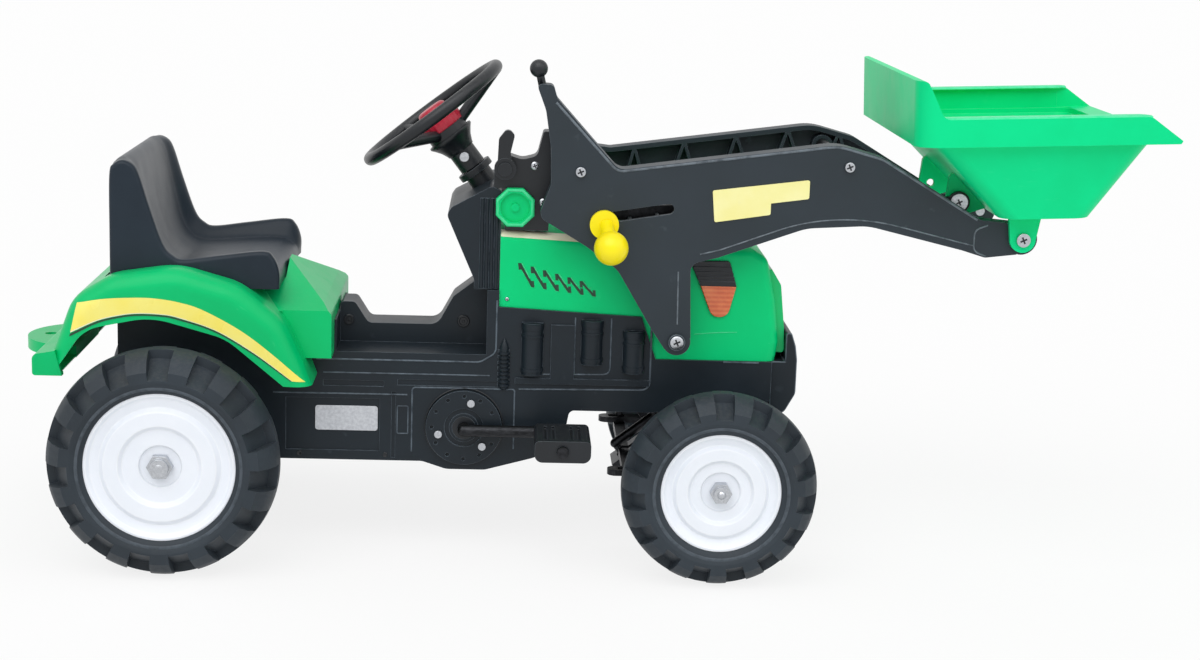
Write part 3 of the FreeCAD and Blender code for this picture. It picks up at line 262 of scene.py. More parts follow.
def makeDrawnLines():
    tree, ins, outs = newGroup("drawnLines", [("Size", 300.0)], ["Height", "Streak"])
    place = addNode(tree, "TexCoord").outputs["Object"]
    mapping = addNode(tree, "Mapping", Vector=place, Scale=drawnSpec["stretch"])
    lines = addNoise(mapping.outputs["Vector"], ins["Size"], *drawnSpec["noise"])
    setInputs(outs, Height=lines, Streak=addRange(lines, *drawnSpec["streak"]))
    return tree


groups = {"grain": makeMouldGrain(), "handling": makeHandling(), "edge": makePaintedEdgeHighlight(),
          "dust": makeDust(), "drawn": makeDrawnLines()}
print("shared node groups made")


def placeGroup(tree, key, **values):
    node = addNode(tree, "Group")
    node.node_tree = groups[key]
    setInputs(node, **values)
    return node


# under and over are a socket or (red, green, blue)
def mixColour(mask, under, over):
    node = addNode(mask.id_data, "Mix")
    node.data_type = "RGBA"
    setInputs(node, Factor=mask)
    for sock, source in zip(node.inputs[6:8], (under, over)):    # the node's colour sockets
        feed(sock, paint(*source) if isinstance(source, tuple) else source)
    return node.outputs[2]


def setSurface(shader, colour, rough, height, strength, depth):
    bump = addNode(shader.id_data, "Bump", Strength=strength, Distance=depth, Height=height)
    setInputs(shader, Base_Color=colour, Roughness=rough, Normal=bump.outputs["Normal"])


# moulded plastics: one dictionary for each finish; edge is the paler colour of the scratches and of the
# painted highlight on the rounded edges
plasticSpecs = {
    "blackBody": {"base": (19, 28, 35), "swirl": (24, 34, 42), "edge": (104, 116, 127), "rough": 0.38,
                  "grain": 1100, "bump": 0.10, "edgeHighlight": 0.75, "dust": 0.05, "shine": 0.3},
    "blackArm": {"base": (32, 42, 49), "swirl": (37, 47, 55), "edge": (118, 128, 137), "rough": 0.46,
                 "grain": 1300, "bump": 0.12, "edgeHighlight": 0.8, "dust": 0.07, "shine": 0.4},
    "blackSeat": {"base": (31, 40, 49), "swirl": (37, 47, 57), "edge": (102, 112, 122), "rough": 0.30,
                  "grain": 1000, "bump": 0.10, "edgeHighlight": 0.6, "dust": 0.04, "shine": 0.18},
    "blackTyre": {"base": (36, 44, 51), "swirl": (44, 53, 61), "edge": (90, 99, 108), "rough": 0.52,
                  "grain": 800, "bump": 0.2, "edgeHighlight": 0.55, "dust": 0.1, "shine": 0.36},
    "blackSmall": {"base": (14, 19, 24), "swirl": (20, 25, 31), "edge": (78, 86, 94), "rough": 0.34,
                   "grain": 1200, "bump": 0.1, "edgeHighlight": 0.6, "dust": 0.1, "shine": 0.45},
    "greenHood": {"base": (0, 206, 122), "swirl": (0, 213, 129), "edge": (104, 236, 176), "rough": 0.36,
                  "grain": 1200, "bump": 0.06, "edgeHighlight": 0.6, "dust": 0.05, "shine": 0.14},
    "greenFender": {"base": (0, 187, 108), "swirl": (0, 195, 115), "edge": (130, 232, 184), "rough": 0.3,
                    "grain": 1200, "bump": 0.05, "edgeHighlight": 0.55, "dust": 0.05, "shine": 0.18},
    "greenBucket": {"base": (0, 219, 138), "swirl": (0, 226, 145), "edge": (120, 240, 190), "rough": 0.36,
                    "grain": 1200, "bump": 0.06, "edgeHighlight": 0.55, "dust": 0.05, "shine": 0.14},
    "whiteRim": {"base": (232, 237, 245), "swirl": (238, 242, 249), "edge": (248, 250, 253), "rough": 0.38,
                 "grain": 1200, "bump": 0.08, "edgeHighlight": 0.4, "dust": 0.12, "shine": 0.45},
    "yellowKnob": {"base": (252, 230, 0), "swirl": (254, 238, 8), "edge": (255, 242, 120), "rough": 0.28,
                   "grain": 1400, "bump": 0.05, "edgeHighlight": 0.4, "dust": 0.06, "shine": 0.4},
    "redHorn": {"base": (168, 16, 44), "swirl": (182, 26, 54), "edge": (224, 110, 120), "rough": 0.3,
                "grain": 1400, "bump": 0.05, "edgeHighlight": 0.4, "dust": 0.1, "shine": 0.5},
    "greyGrille": {"base": (196, 210, 204), "swirl": (210, 222, 217), "edge": (240, 246, 243), "rough": 0.4,
                   "grain": 1200, "bump": 0.08, "edgeHighlight": 0.8, "dust": 0.05, "shine": 0.4,
                   "flank": (0, 196, 114)},
}
# what all the plastics share: swirl, scratches, dust and how they dull the surface
plasticWear = {"swirlScale": 11.0, "handling": {"Amount": 0.3, "Size": 70.0}, "edgeHighlightSize": 90.0, "scratch": 0.3,
               "film": 0.5, "dustColour": (176, 172, 164), "rubbedDull": 0.12, "dustDull": 0.3,
               "uneven": 0.07, "bumpDepth": 0.0004, "flank": (0.6, 0.8)}


# worn is for the rounded edges, which get a painted highlight: the paler edge colour in broken patches
def makePlastic(name, worn=False):
    spec, wear = plasticSpecs[name], plasticWear
    mat, tree, shader = newMaterial(name + "Edge" if worn else name)
    grain = placeGroup(tree, "grain", Grain_Scale=spec["grain"], Swirl_Scale=wear["swirlScale"])
    marks = placeGroup(tree, "handling", **wear["handling"])
    dust = placeGroup(tree, "dust", Amount=spec["dust"])
    colour = mixColour(grain.outputs["Swirl"], spec["base"], spec["swirl"])
    if "flank" in spec:    # other colour on the faces that look sideways
        split = addNode(tree, "SeparateXYZ", Vector=addNode(tree, "TexCoord").outputs["Normal"])
        sideways = addRange(addMath("ABSOLUTE", split.outputs["Y"], 0.0), *wear["flank"])
        colour = mixColour(sideways, colour, spec["flank"])
    # painted highlight: the paler edge colour laid on the rounded edges in broken patches
    if worn:
        edgeHighlight = placeGroup(tree, "edge", Amount=spec["edgeHighlight"], Size=wear["edgeHighlightSize"])
        colour = mixColour(edgeHighlight.outputs["Mask"], colour, spec["edge"])
    thin = addMath("MULTIPLY", marks.outputs["Scratches"], wear["scratch"])
    colour = mixColour(thin, colour, spec["edge"])
    film = addMath("MULTIPLY", dust.outputs["Mask"], wear["film"])
    colour = mixColour(film, colour, wear["dustColour"])
    dull = addMath("MULTIPLY", marks.outputs["Rubbed"], wear["rubbedDull"])
    dull = addMath("ADD", dull, addMath("MULTIPLY", dust.outputs["Mask"], wear["dustDull"]))
    uneven = addMath("MULTIPLY", grain.outputs["Swirl"], wear["uneven"])
    rough = addMath("ADD", addMath("ADD", uneven, spec["rough"]), dull, True)
    setSurface(shader, colour, rough, grain.outputs["Height"], spec["bump"], wear["bumpDepth"])
    setInputs(shader, Specular_IOR_Level=spec["shine"])
    return mat


# bright and blackened metals
metalSpecs = {
    "zincBolt": {"base": (198, 201, 206), "streak": (176, 179, 184), "rough": 0.26, "lines": 900,
                 "bump": 0.08},
    "blackTube": {"base": (58, 59, 62), "streak": (40, 41, 43), "rough": 0.36, "lines": 260, "bump": 0.08},
    "silverBadge": {"base": (206, 209, 214), "streak": (186, 189, 195), "rough": 0.34, "lines": 520,
                    "bump": 0.1},
}
metalWear = {"handling": {"Amount": 0.4, "Size": 90.0}, "rubbedDull": 0.2, "streakDull": 0.08,
             "bumpDepth": 0.0002}


def makeMetal(name):
    spec, wear = metalSpecs[name], metalWear
    mat, tree, shader = newMaterial(name)
    drawn = placeGroup(tree, "drawn", Size=spec["lines"])
    marks = placeGroup(tree, "handling", **wear["handling"])
    colour = mixColour(drawn.outputs["Streak"], spec["base"], spec["streak"])
    dull = addMath("MULTIPLY", marks.outputs["Rubbed"], wear["rubbedDull"])
    streaks = addMath("MULTIPLY", drawn.outputs["Streak"], wear["streakDull"])
    rough = addMath("ADD", addMath("ADD", dull, spec["rough"]), streaks, True)
    setSurface(shader, colour, rough, drawn.outputs["Height"], spec["bump"], wear["bumpDepth"])
    setInputs(shader, Metallic=1.0)
    return mat


# amber lens: tinted plastic with a ribbed back showing through
lensSpec = {"light": (236, 128, 70), "deep": (204, 84, 30), "ribs": 420 / 6.28, "ribWave": 0.4,
            "noise": (70.0, 3.0, 0.6), "blot": (0.35, 0.68), "rough": 0.16, "uneven": 0.08, "bump": 0.3,
            "bumpDepth": 0.0006, "coat": 0.6, "coatRough": 0.08}


def makeLens():
    spec = lensSpec
    mat, tree, shader = newMaterial("amberLens")
    place = addNode(tree, "TexCoord").outputs["Object"]
    wave = addNode(tree, "TexWave", Vector=place, Scale=spec["ribs"], Distortion=spec["ribWave"])
    wave.bands_direction = "Z"
    blot = addRange(addNoise(place, *spec["noise"]), *spec["blot"])
    shade = addMath("MULTIPLY", addMath("ADD", wave.outputs["Fac"], blot), 0.5, True)    # their average
    colour = mixColour(shade, spec["deep"], spec["light"])
    rough = addMath("ADD", addMath("MULTIPLY", blot, spec["uneven"]), spec["rough"], True)
    setSurface(shader, colour, rough, wave.outputs["Fac"], spec["bump"], spec["bumpDepth"])
    setInputs(shader, Coat_Weight=spec["coat"], Coat_Roughness=spec["coatRough"])
    return mat


# bare printed foil: yellow plates and stripes, cream band; the dark foil is also laid in the hood's louvres
# as painted shade
foilSpecs = {
    "yellowFoil": {"base": (245, 238, 156), "fade": (249, 244, 178), "rough": 0.32},
    "stripeFoil": {"base": (250, 233, 98), "fade": (250, 239, 128), "rough": 0.26},
    "creamFoil": {"base": (236, 232, 196), "fade": (244, 241, 214), "rough": 0.34},
    "darkFoilAndShade": {"base": (8, 52, 32), "fade": (16, 66, 42), "rough": 0.34},
}
foilWear = {"grain": 700.0, "swirlScale": 22.0, "handling": {"Amount": 0.5, "Size": 80.0}, "scratch": 0.3,
            "scratchColour": (214, 210, 190), "rubbedDull": 0.2, "bump": 0.05, "bumpDepth": 0.0003}


def makeFoil(name):
    spec, wear = foilSpecs[name], foilWear
    mat, tree, shader = newMaterial(name)
    grain = placeGroup(tree, "grain", Grain_Scale=wear["grain"], Swirl_Scale=wear["swirlScale"])
    marks = placeGroup(tree, "handling", **wear["handling"])
    colour = mixColour(grain.outputs["Swirl"], spec["base"], spec["fade"])
    worn = addMath("MULTIPLY", marks.outputs["Scratches"], wear["scratch"])
    colour = mixColour(worn, colour, wear["scratchColour"])
    dull = addMath("MULTIPLY", marks.outputs["Rubbed"], wear["rubbedDull"])
    rough = addMath("ADD", dull, spec["rough"], True)
    setSurface(shader, colour, rough, grain.outputs["Height"], wear["bump"], wear["bumpDepth"])
    return mat


finish = {name: makePlastic(name) for name in plasticSpecs}
# the edge finishes carry the painted highlight of the rounded edges
finish.update({name + "Edge": makePlastic(name, worn=True) for name in plasticSpecs})
finish.update({name: makeMetal(name) for name in metalSpecs})
finish.update({name: makeFoil(name) for name in foilSpecs})
finish["amberLens"] = makeLens()
print("finishes made:", len(finish))

# what the solids of the frame are made of, and how far their edges are rounded, in millimetres
solidLooks = {
    "blackBody": {"body_shell": 1.0, "dash_console": 1.0, "front_bumper": 1.2, "crank_covers": 0.8},
    "greenHood": {"hood": 0.9, "side_cap": 0.8},
    "greenFender": {"rear_fender": 1.2},
    "greenBucket": {"bucket": 1.2},
    "greyGrille": {"grille": 0.5},
    "amberLens": {"indicator_lenses": 0.6},
    "blackSeat": {"seat": 2.0},
    "blackArm": {"loader_arm_right": 0.9, "loader_arm_left": 0.9, "loader_pivot_pins": 0.6},
    "yellowFoil": {"arm_plates": 0.2},
    "yellowKnob": {"tilt_knob": 0.6},
    "redHorn": {"horn_button": 0.6},
    "silverBadge": {"side_plates": 0.2},
    "whiteRim": {"rear_rim_right": 0.8, "rear_rim_left": 0.8, "front_rim_right": 0.8, "front_rim_left": 0.8},
    "blackTyre": {"rear_tyre_right": 1.2, "rear_tyre_left": 1.2, "front_tyre_right": 1.1,
                  "front_tyre_left": 1.1},
    "blackSmall": {"headlamps": 0.5, "crank_bushes": 0.4, "rear_axle_bushes": 0.4, "gear_lever_bracket": 0.6,
                   "gear_lever": 0.7, "column_collar": 0.6, "pedal_right": 0.8, "pedal_left": 0.8,
                   "steering_wheel": 0.7, "lever_ball": 0.0},
    "blackTube": {"front_axle_beam": 0.6, "loader_pivot_bracket": 0.6, "rear_sprocket": 0.2, "crank": 0.5,
                  "crank_sprocket": 0.2, "tie_rod": 0.4, "steering_shaft": 0.4, "loader_ties": 0.4,
                  "push_rod": 0.4, "knuckle_right": 0.5, "knuckle_left": 0.5},
    "zincBolt": {"seat_screws": 0.3, "crank_cover_bolts": 0.4, "drive_chain": 0.0, "kingpins": 0.3,
                 "rear_axle": 0.3, "rear_nuts": 0.5, "front_nut_right": 0.5, "front_nut_left": 0.5,
                 "steering_bolt": 0.4, "horn_spring": 0.0, "loader_tie_bolts": 0.5, "bucket_pins": 0.4,
                 "tab_pin": 0.4},
}
softenSpec = {"weld": 0.00002, "flatAngle": 1.0, "segments": 2, "roundAngle": 32}


# weld the seams of the imported mesh, merge its flat triangles, then round the edges
def soften(obj, width):
    spec = softenSpec
    weld = obj.modifiers.new("weld", "WELD")
    weld.merge_threshold = spec["weld"]
    flat = obj.modifiers.new("flat", "DECIMATE")
    flat.decimate_type = "DISSOLVE"
    flat.angle_limit = radians(spec["flatAngle"])
    if width > 0:
        bevel = obj.modifiers.new("round", "BEVEL")
        bevel.width = width / 1000
        bevel.segments = spec["segments"]
        bevel.limit_method = "ANGLE"
        bevel.angle_limit = radians(spec["roundAngle"])
        if len(obj.data.materials) > 1:
            bevel.material = 1    # the finish with the painted edge highlight
    normals = obj.modifiers.new("normals", "WEIGHTED_NORMAL")
    normals.keep_sharp = True


def dressSolids():
    for look, widths in solidLooks.items():
        for name, width in widths.items():
            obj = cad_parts[name]
            if not obj.material_slots:
                obj.data.materials.append(finish[look])
            for slot in obj.material_slots:
                slot.material = finish[look]
            # second finish for the bevel faces, with the painted edge highlight
            if look in plasticSpecs:
                obj.data.materials.append(finish[look + "Edge"])
            soften(obj, width)
    print("solids dressed:", sum(len(widths) for widths in solidLooks.values()))


dressSolids()

weldReach = 1e-6    # metres


# a form is a list of points in millimetres and a list of faces; the faces of a sheet are turned away from
# the middle plane
def newPiece(name, form, look, body, sheet=False, sharp=40):
    mesh = bpy.data.meshes.new(name)
    mesh.from_pydata([[c / 1000 for c in p] for p in form[0]], [], form[1])
    work = bmesh.new()
    work.from_mesh(mesh)
    bmesh.ops.remove_doubles(work, verts=work.verts, dist=weldReach)
    if sheet:
        work.normal_update()
        for face in work.faces:
            if face.normal.y * face.calc_center_median().y < 0:
                face.normal_flip()
    else:
        bmesh.ops.recalc_face_normals(work, faces=work.faces)
    work.to_mesh(mesh)
    work.free()
    mesh.materials.append(finish[look])
    mesh.shade_smooth()
    mesh.set_sharp_from_angle(angle=radians(sharp))
    obj = bpy.data.objects.new(name, mesh)
    scene.collection.objects.link(obj)
    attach(obj, body)
    return obj


def addGrid(form, rows, close=False):
    points, faces = form
    start = len(points)
    wide = len(rows[0])
    for row in rows:
        points.extend(row)
    count = len(rows) if close else len(rows) - 1
    for i in range(count):
        for j in range(wide - 1):
            a = start + i * wide + j
            b = start + (i + 1) % len(rows) * wide + j
            faces.append((a, a + 1, b + 1, b))


# rows joined into a sweep; its two ends are closed by faces of as many points as capped says
def addSweep(form, rows, capped):
    start = len(form[0])
    addGrid(form, rows)
    end = len(form[0]) - len(rows[0])
    form[1].extend(tuple(range(first, first + capped)) for first in (start, end))


def spread(low, high, count):
    return [low + (high - low) * i / (count - 1) for i in range(count)]


# smooth line through the keys, the same number of steps between each two
def smoothLine(keys, steps):
    pts = [Vector(k) for k in keys]
    pts = [pts[0] * 2 - pts[1]] + pts + [pts[-1] * 2 - pts[-2]]
    line = []
    for i in range(1, len(pts) - 2):
        p0, p1, p2, p3 = pts[i - 1:i + 3]
        for s in range(steps):
            t = s / steps
            line.append(0.5 * (2 * p1 + (p2 - p0) * t + (2 * p0 - 5 * p1 + 4 * p2 - p3) * t ** 2
                               + (3 * p1 - p0 - 3 * p2 + p3) * t ** 3))
    return line + [pts[-2]]


# the same line with its points evenly spaced
def evenLine(line, count):
    reach = [0.0]
    for a, b in zip(line, line[1:]):
        reach.append(reach[-1] + (b - a).length)
    even = []
    k = 0
    for i in range(count):
        want = reach[-1] * i / (count - 1)
        while k < len(line) - 2 and reach[k + 1] < want:
            k += 1
        share = (want - reach[k]) / max(reach[k + 1] - reach[k], 1e-9)
        even.append(line[k].lerp(line[k + 1], min(share, 1.0)))
    return even


# corners (x, z) or (x, z, radius) become a path with rounded corners
def roundedPath(corners, steps=6):
    path = [Vector(corners[0][:2])]
    for before, corner, after in zip(corners, corners[1:], corners[2:]):
        mid = Vector(corner[:2])
        if len(corner) < 3:
            path.append(mid)
            continue
        back = (Vector(before[:2]) - mid).normalized()
        ahead = (Vector(after[:2]) - mid).normalized()
        turn = acos(max(-1, min(1, back.dot(ahead))))
        reach = corner[2] / tan(turn / 2)
        start, end = mid + back * reach, mid + ahead * reach
        for i in range(steps + 1):
            t = i / steps
            path.append(start * (1 - t) ** 2 + mid * 2 * t * (1 - t) + end * t ** 2)
    return path + [Vector(corners[-1][:2])]


def heading(line, i):
    return (line[min(i + 1, len(line) - 1)] - line[max(i - 1, 0)]).normalized()


# (x, z) turned about the origin, then moved to the centre
def turnedAbout(centre, x, z, degrees):
    turn = radians(degrees)
    return (centre[0] + x * cos(turn) - z * sin(turn),
            centre[1] + x * sin(turn) + z * cos(turn))


beadSpec = {"around": 7, "sink": 0.2}


# half-round moulded line on a side face; side -1 is the right of the tractor, 1 the left
def addBead(form, path, faceY, radius, side, rise=1.0):
    around, sink = beadSpec["around"], beadSpec["sink"]
    rows = []
    for i, here in enumerate(path):
        along = heading(path, i)
        row = []
        for a in spread(0, pi, around):
            place = here + Vector((-along.y, along.x)) * radius * cos(a)
            row.append((place.x, side * (faceY - sink + (radius * rise + sink) * sin(a)), place.y))
        rows.append(row)
    addSweep(form, rows, around)


# turned form: profile of (along the axis, radius), swept from one angle to another; a ring closes on itself
def addTurned(form, profile, base, axis, outward, first=0.0, sweep=360.0, segments=28, flutes=0, flute=0.0,
              ring=False):
    points, faces = form
    axis = Vector(axis).normalized()
    u = Vector(outward).normalized()
    v = axis.cross(u)
    whole = sweep >= 360
    if ring:
        profile = profile + profile[:1]
    rows = []
    for i in range(segments if whole else segments + 1):
        a = radians(first + sweep * i / segments)
        out = u * cos(a) + v * sin(a)
        swell = flute * cos(flutes * a) if flutes else 0.0
        rows.append([tuple(Vector(base) + axis * t + out * max(r + swell, 0.01)) for t, r in profile])
    start = len(points)
    addGrid(form, rows, close=whole)
    if ring:
        return
    wide = len(profile)
    ends = [start + i * wide for i in range(len(rows))]
    faces.append(tuple(ends))
    faces.append(tuple(e + wide - 1 for e in ends))


# turned form that stands out sideways, at y from the middle plane
def addBoss(form, profile, x, z, y, side, **more):
    addTurned(form, profile, (x, side * y, z), (0, side, 0), (1, 0, 0), **more)


# flat plate with an outline in (x, z), between two distances from the middle plane
def addPlate(form, outline, y0, y1, side):
    points, faces = form
    start = len(points)
    n = len(outline)
    for y in (y0, y1):
        points.extend((x, side * y, z) for x, z in outline)
    for i in range(n):
        j = (i + 1) % n
        faces.append((start + i, start + j, start + n + j, start + n + i))
    faces.append(tuple(range(start, start + n)))
    faces.append(tuple(range(start + n, start + 2 * n)))


rayStart = 0.3    # metres from the middle plane, outside the tractor


# rays along Y find how far a solid's outside is from the middle plane; 0 where they miss it
def sideFinder(node):
    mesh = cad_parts[node].data
    tree = BVHTree.FromPolygons([v.co for v in mesh.vertices], [p.vertices for p in mesh.polygons])

    def reach(x, z, side):
        start = Vector((x / 1000, side * rayStart, z / 1000))
        hit = tree.ray_cast(start, Vector((0, -side, 0)))[0]
        return 0.0 if hit is None else abs(hit.y) * 1000

    return reach


sides = (-1, 1)

# seat: one moulding with a smooth dish between rounded side panels
seatSpec = {
    "panel": [(-303, 277), (-303, 294), (-309, 309), (-320, 314.5), (-360, 309.5), (-396, 304.5), (-408, 308),
              (-418, 320), (-431, 357), (-440, 386), (-446, 397.5), (-456, 402), (-465, 398), (-469.4, 387),
              (-470, 330), (-470, 277)],
    "dish": [(-304, 277), (-304.5, 284), (-309, 290), (-324, 296), (-360, 295), (-398, 292), (-417, 297),
             (-429, 314), (-438, 350), (-445, 384), (-450, 397.5), (-458, 403), (-466, 399.5), (-469.5, 388),
             (-470, 330), (-470, 277)],
    "hollow": [0, 0, 0, 2, 4, 4, 4, 4, 4, 3, 1, 0, 0, 0, 0, 0],
    "backFrom": 310, "backPull": (0.9, 0.2), "seatPull": (0.3, 0.9), "dishHalf": 92,
    "half": 115.0, "round": 4.6, "roundAngles": (90, 75, 60, 45, 30, 15),
    "across": (109, 107, 105, 103, 101, 99, 97, 95, 93, 91, 88, 80, 65, 45, 22, 0),
    "wallFrom": 107.0, "wallTo": 90.0, "steps": 8}


def makeSeat():
    spec = seatSpec
    panel = smoothLine(spec["panel"], spec["steps"])
    edge = smoothLine(spec["dish"], spec["steps"])
    deeper = []
    for (x, z), deep in zip(spec["dish"], spec["hollow"]):
        pull = spec["backPull"] if z > spec["backFrom"] else spec["seatPull"]
        deeper.append((x - deep * pull[0], z - deep * pull[1]))
    middle = smoothLine(deeper, spec["steps"])
    half, bend = spec["half"], spec["round"]
    angles = [radians(a) for a in spec["roundAngles"]]
    across = [(half - bend + bend * sin(a), bend - bend * cos(a)) for a in angles]
    across += [(y, 0.0) for y in spec["across"]]
    rows = []
    for y, inset in [(-y, i) for y, i in across] + [(y, i) for y, i in reversed(across[:-1])]:
        share = (spec["wallFrom"] - abs(y)) / (spec["wallFrom"] - spec["wallTo"])
        share = max(0.0, min(1.0, share))
        share = share * share * (3 - 2 * share)
        deep = max(0.0, 1 - (y / spec["dishHalf"]) ** 2)
        line = [p.lerp(e.lerp(m, deep), share) for p, e, m in zip(panel, edge, middle)]
        row = []
        for i, here in enumerate(line):
            along = heading(line, i)
            row.append((here.x - along.y * inset, y, here.y + along.x * inset))
        rows.append(row)
    points, faces = form = [], []
    addGrid(form, rows)
    wide = len(rows[0])
    for start in (0, len(points) - wide):
        outline = [Vector(p) for p in points[start:start + wide]]
        faces.extend(tuple(start + k for k in tri) for tri in tessellate_polygon([outline]))
    for i in range(len(rows) - 1):
        faces.append((i * wide, (i + 1) * wide, (i + 2) * wide - 1, (i + 1) * wide - 1))
    seat = newPiece("seatShell", form, "blackSeat", "chassis", sharp=60)
    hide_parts("seat")


makeSeat()
print("seat moulded")

# foil stripes on the arches: yellow band, pale rim and a dark line below it; least and usual are distances
# from the middle plane, for rays that miss the arch
stripeSpec = {
    "top": [(-497, 264), (-472, 269), (-445, 271), (-422, 271), (-397, 267.5), (-373, 260), (-336, 240),
            (-303, 215), (-274, 189)],
    "bottom": [(-503, 236), (-477, 248), (-456, 253.5), (-437, 256), (-415, 255.5), (-397, 252.5),
               (-360, 240), (-323, 218), (-286, 190.5)],
    "columns": 96, "rows": 9, "steps": 8, "lift": 0.5, "least": 120.0, "usual": 145.0,
    "bands": [("fenderStripe", "stripeFoil", "yellow_plastic", 0.0, 1.0),
              ("fenderStripeRim", "creamFoil", "green_plastic", 1.0, 1.05),
              ("fenderStripeLine", "darkFoilAndShade", "green_plastic", 1.09, 1.19)]}


def makeStripes():
    spec = stripeSpec
    reach = sideFinder("rear_fender")
    top = evenLine(smoothLine(spec["top"], spec["steps"]), spec["columns"])
    bottom = evenLine(smoothLine(spec["bottom"], spec["steps"]), spec["columns"])
    for name, look, slotName, share0, share1 in spec["bands"]:
        form = [], []
        for side in sides:
            rows = []
            for share in spread(share0, share1, spec["rows"]):
                row = []
                for a, b in zip(top, bottom):
                    here = a.lerp(b, share)
                    deep = reach(here.x, here.y, side)
                    deep = deep if deep > spec["least"] else spec["usual"]
                    row.append((here.x, side * (deep + spec["lift"]), here.y))
                rows.append(row)
            addGrid(form, rows)
        newPiece(name, form, look, "chassis", sheet=True)


makeStripes()
print("fender stripes laid")

# strips that carry the apron's slopes on under the front lip of the seat
infillSpec = {"rear": -322.0, "front": -299.5, "inner": 57.0, "outer": 112.0, "eave": 255.3, "eaveAt": 110.0,
              "slope": 0.373, "thick": 1.2, "columns": 12, "taper": 2, "nose": (3.0, 0.3)}


def makeInfill():
    spec = infillSpec
    x0, x1 = spec["rear"], spec["front"]
    noseLong, noseDrop = spec["nose"]
    last = spec["columns"] - 1
    form = [], []
    for side in sides:
        rows = []
        for i, y in enumerate(spread(spec["inner"], spec["outer"], spec["columns"])):
            z = spec["eave"] + spec["slope"] * (spec["eaveAt"] - y)
            low = z - min(1.0, i / spec["taper"], (last - i) / spec["taper"]) * spec["thick"]
            row = [(x0, low), (x0, z), (x1 - noseLong, z), (x1, z - noseDrop), (x1, low), (x0, low)]
            rows.append([(x, side * y, h) for x, h in row])
        addGrid(form, rows)
    newPiece("apronInfill", form, "greenFender", "chassis")


makeInfill()
print("apron infill made")

# hood trim: cream band on the rounded top edge and a crease at the nose
hoodSpec = {"half": 72.0, "round": 11.0, "rear": -84.0, "topRear": 335.0, "drop": 12.0 / 256,
            "bandFrom": -83.6, "bandTo": 20.0, "bandLow": 28.0, "bandHigh": 88.0, "bandColumns": 27,
            "bandRows": 9, "bandLift": 0.3, "crease": [(117, 233), (139, 235), (161, 236)], "creaseBead": 0.6,
            "steps": 6}
# louvres: x, z and half height of the first and the step to the next; floor, end hooks and lip of each, where
# the dark floor and end hooks are painted shade in the slot
louvreSpec = {"count": 6, "first": (-57, 290, 12.5), "step": (12.6, -2.5, -0.9), "inset": 0.3, "near": 5.5,
              "far": 8.5, "floor": (70.3, 70.85), "endShade": [(8.6, 0), (6.4, 0), (4.9, 6.5), (7.9, 6.5)],
              "endShadeDepth": (-0.3, 0.12), "lipFoot": (3.6, 9.5), "lipMiddle": 2.1, "lipTop": -4.8,
              "lipBead": 0.7}


def makeHoodBand():
    spec = hoodSpec
    r = spec["round"] + spec["bandLift"]
    form = [], []
    for side in sides:
        rows = []
        for x in spread(spec["bandFrom"], spec["bandTo"], spec["bandColumns"]):
            z = spec["topRear"] - spec["drop"] * (x - spec["rear"]) - spec["round"]
            row = []
            for angle in spread(spec["bandLow"], spec["bandHigh"], spec["bandRows"]):
                a = radians(angle)
                row.append((x, side * (spec["half"] - spec["round"] + r * cos(a)), z + r * sin(a)))
            rows.append(row)
        addGrid(form, rows)
    newPiece("hoodBand", form, "creamFoil", "chassis", sheet=True)


def makeLouvres():
    spec, half = louvreSpec, hoodSpec["half"]
    near, far = spec["near"], spec["far"]
    shadePlates, lips = ([], []), ([], [])
    for side in sides:
        for i in range(spec["count"]):
            x, z, rise = (a + b * i for a, b in zip(spec["first"], spec["step"]))
            low, high = z - rise + spec["inset"], z + rise - spec["inset"]
            # dark plate at the slot's floor: painted shade of the slot
            outline = [(x + near, low), (x + far, low), (x - near, high), (x - far, high)]
            addPlate(shadePlates, outline, *spec["floor"], side)
            for end, out in ((high, -1), (low, 1)):    # painted shade: short upright strokes at both ends
                endShade = [(x + out * a, end + out * b) for a, b in spec["endShade"]]
                addPlate(shadePlates, endShade, *(half + d for d in spec["endShadeDepth"]), side)
            dx, dz = spec["lipFoot"]
            edge = [(x + dx, z - rise + dz), (x + spec["lipMiddle"], z), (x + spec["lipTop"], z + rise)]
            addBead(lips, [Vector(p) for p in edge], half, spec["lipBead"], side)
    newPiece("louvreShade", shadePlates, "darkFoilAndShade", "chassis")
    crease = smoothLine(hoodSpec["crease"], hoodSpec["steps"])
    for side in sides:
        addBead(lips, crease, half, hoodSpec["creaseBead"], side)
    # the lips and the crease take the hood finish with the painted edge highlight
    newPiece("louvreLips", lips, "greenHoodEdge", "chassis")


makeHoodBand()
makeLouvres()
print("hood trimmed")

# red sleeve round the steering hub, finger flutes round it, and the cone below the hub
sleeveSpec = {"centre": (-157, 0, 446), "down": (0.6115, 0, -0.7912), "flutes": 26, "flute": 0.22,
              "segments": 156,
              "profile": [(7.0, 21.9), (7.3, 22.7), (8.2, 23.1), (19.2, 23.1), (20.1, 22.7), (20.4, 21.9)],
              "cone": [(29.0, 13.6), (29.0, 25.4), (31.0, 25.6), (34.0, 23.0), (40.0, 18.6), (46.0, 15.8),
                       (48.5, 15.0), (49.0, 14.4), (49.0, 13.6)], "coneSegments": 64}


def makeSleeve():
    spec = sleeveSpec
    form = [], []
    addTurned(form, spec["profile"], spec["centre"], spec["down"], (0, 1, 0), segments=spec["segments"],
              flutes=spec["flutes"], flute=spec["flute"], ring=True)
    newPiece("steeringSleeve", form, "redHorn", "steering", sharp=60)
    form = [], []
    addTurned(form, spec["cone"], spec["centre"], spec["down"], (0, 1, 0),
              segments=spec["coneSegments"], ring=True)
    newPiece("hubCone", form, "blackSmall", "steering", sharp=50)


makeSleeve()
print("steering sleeve turned")

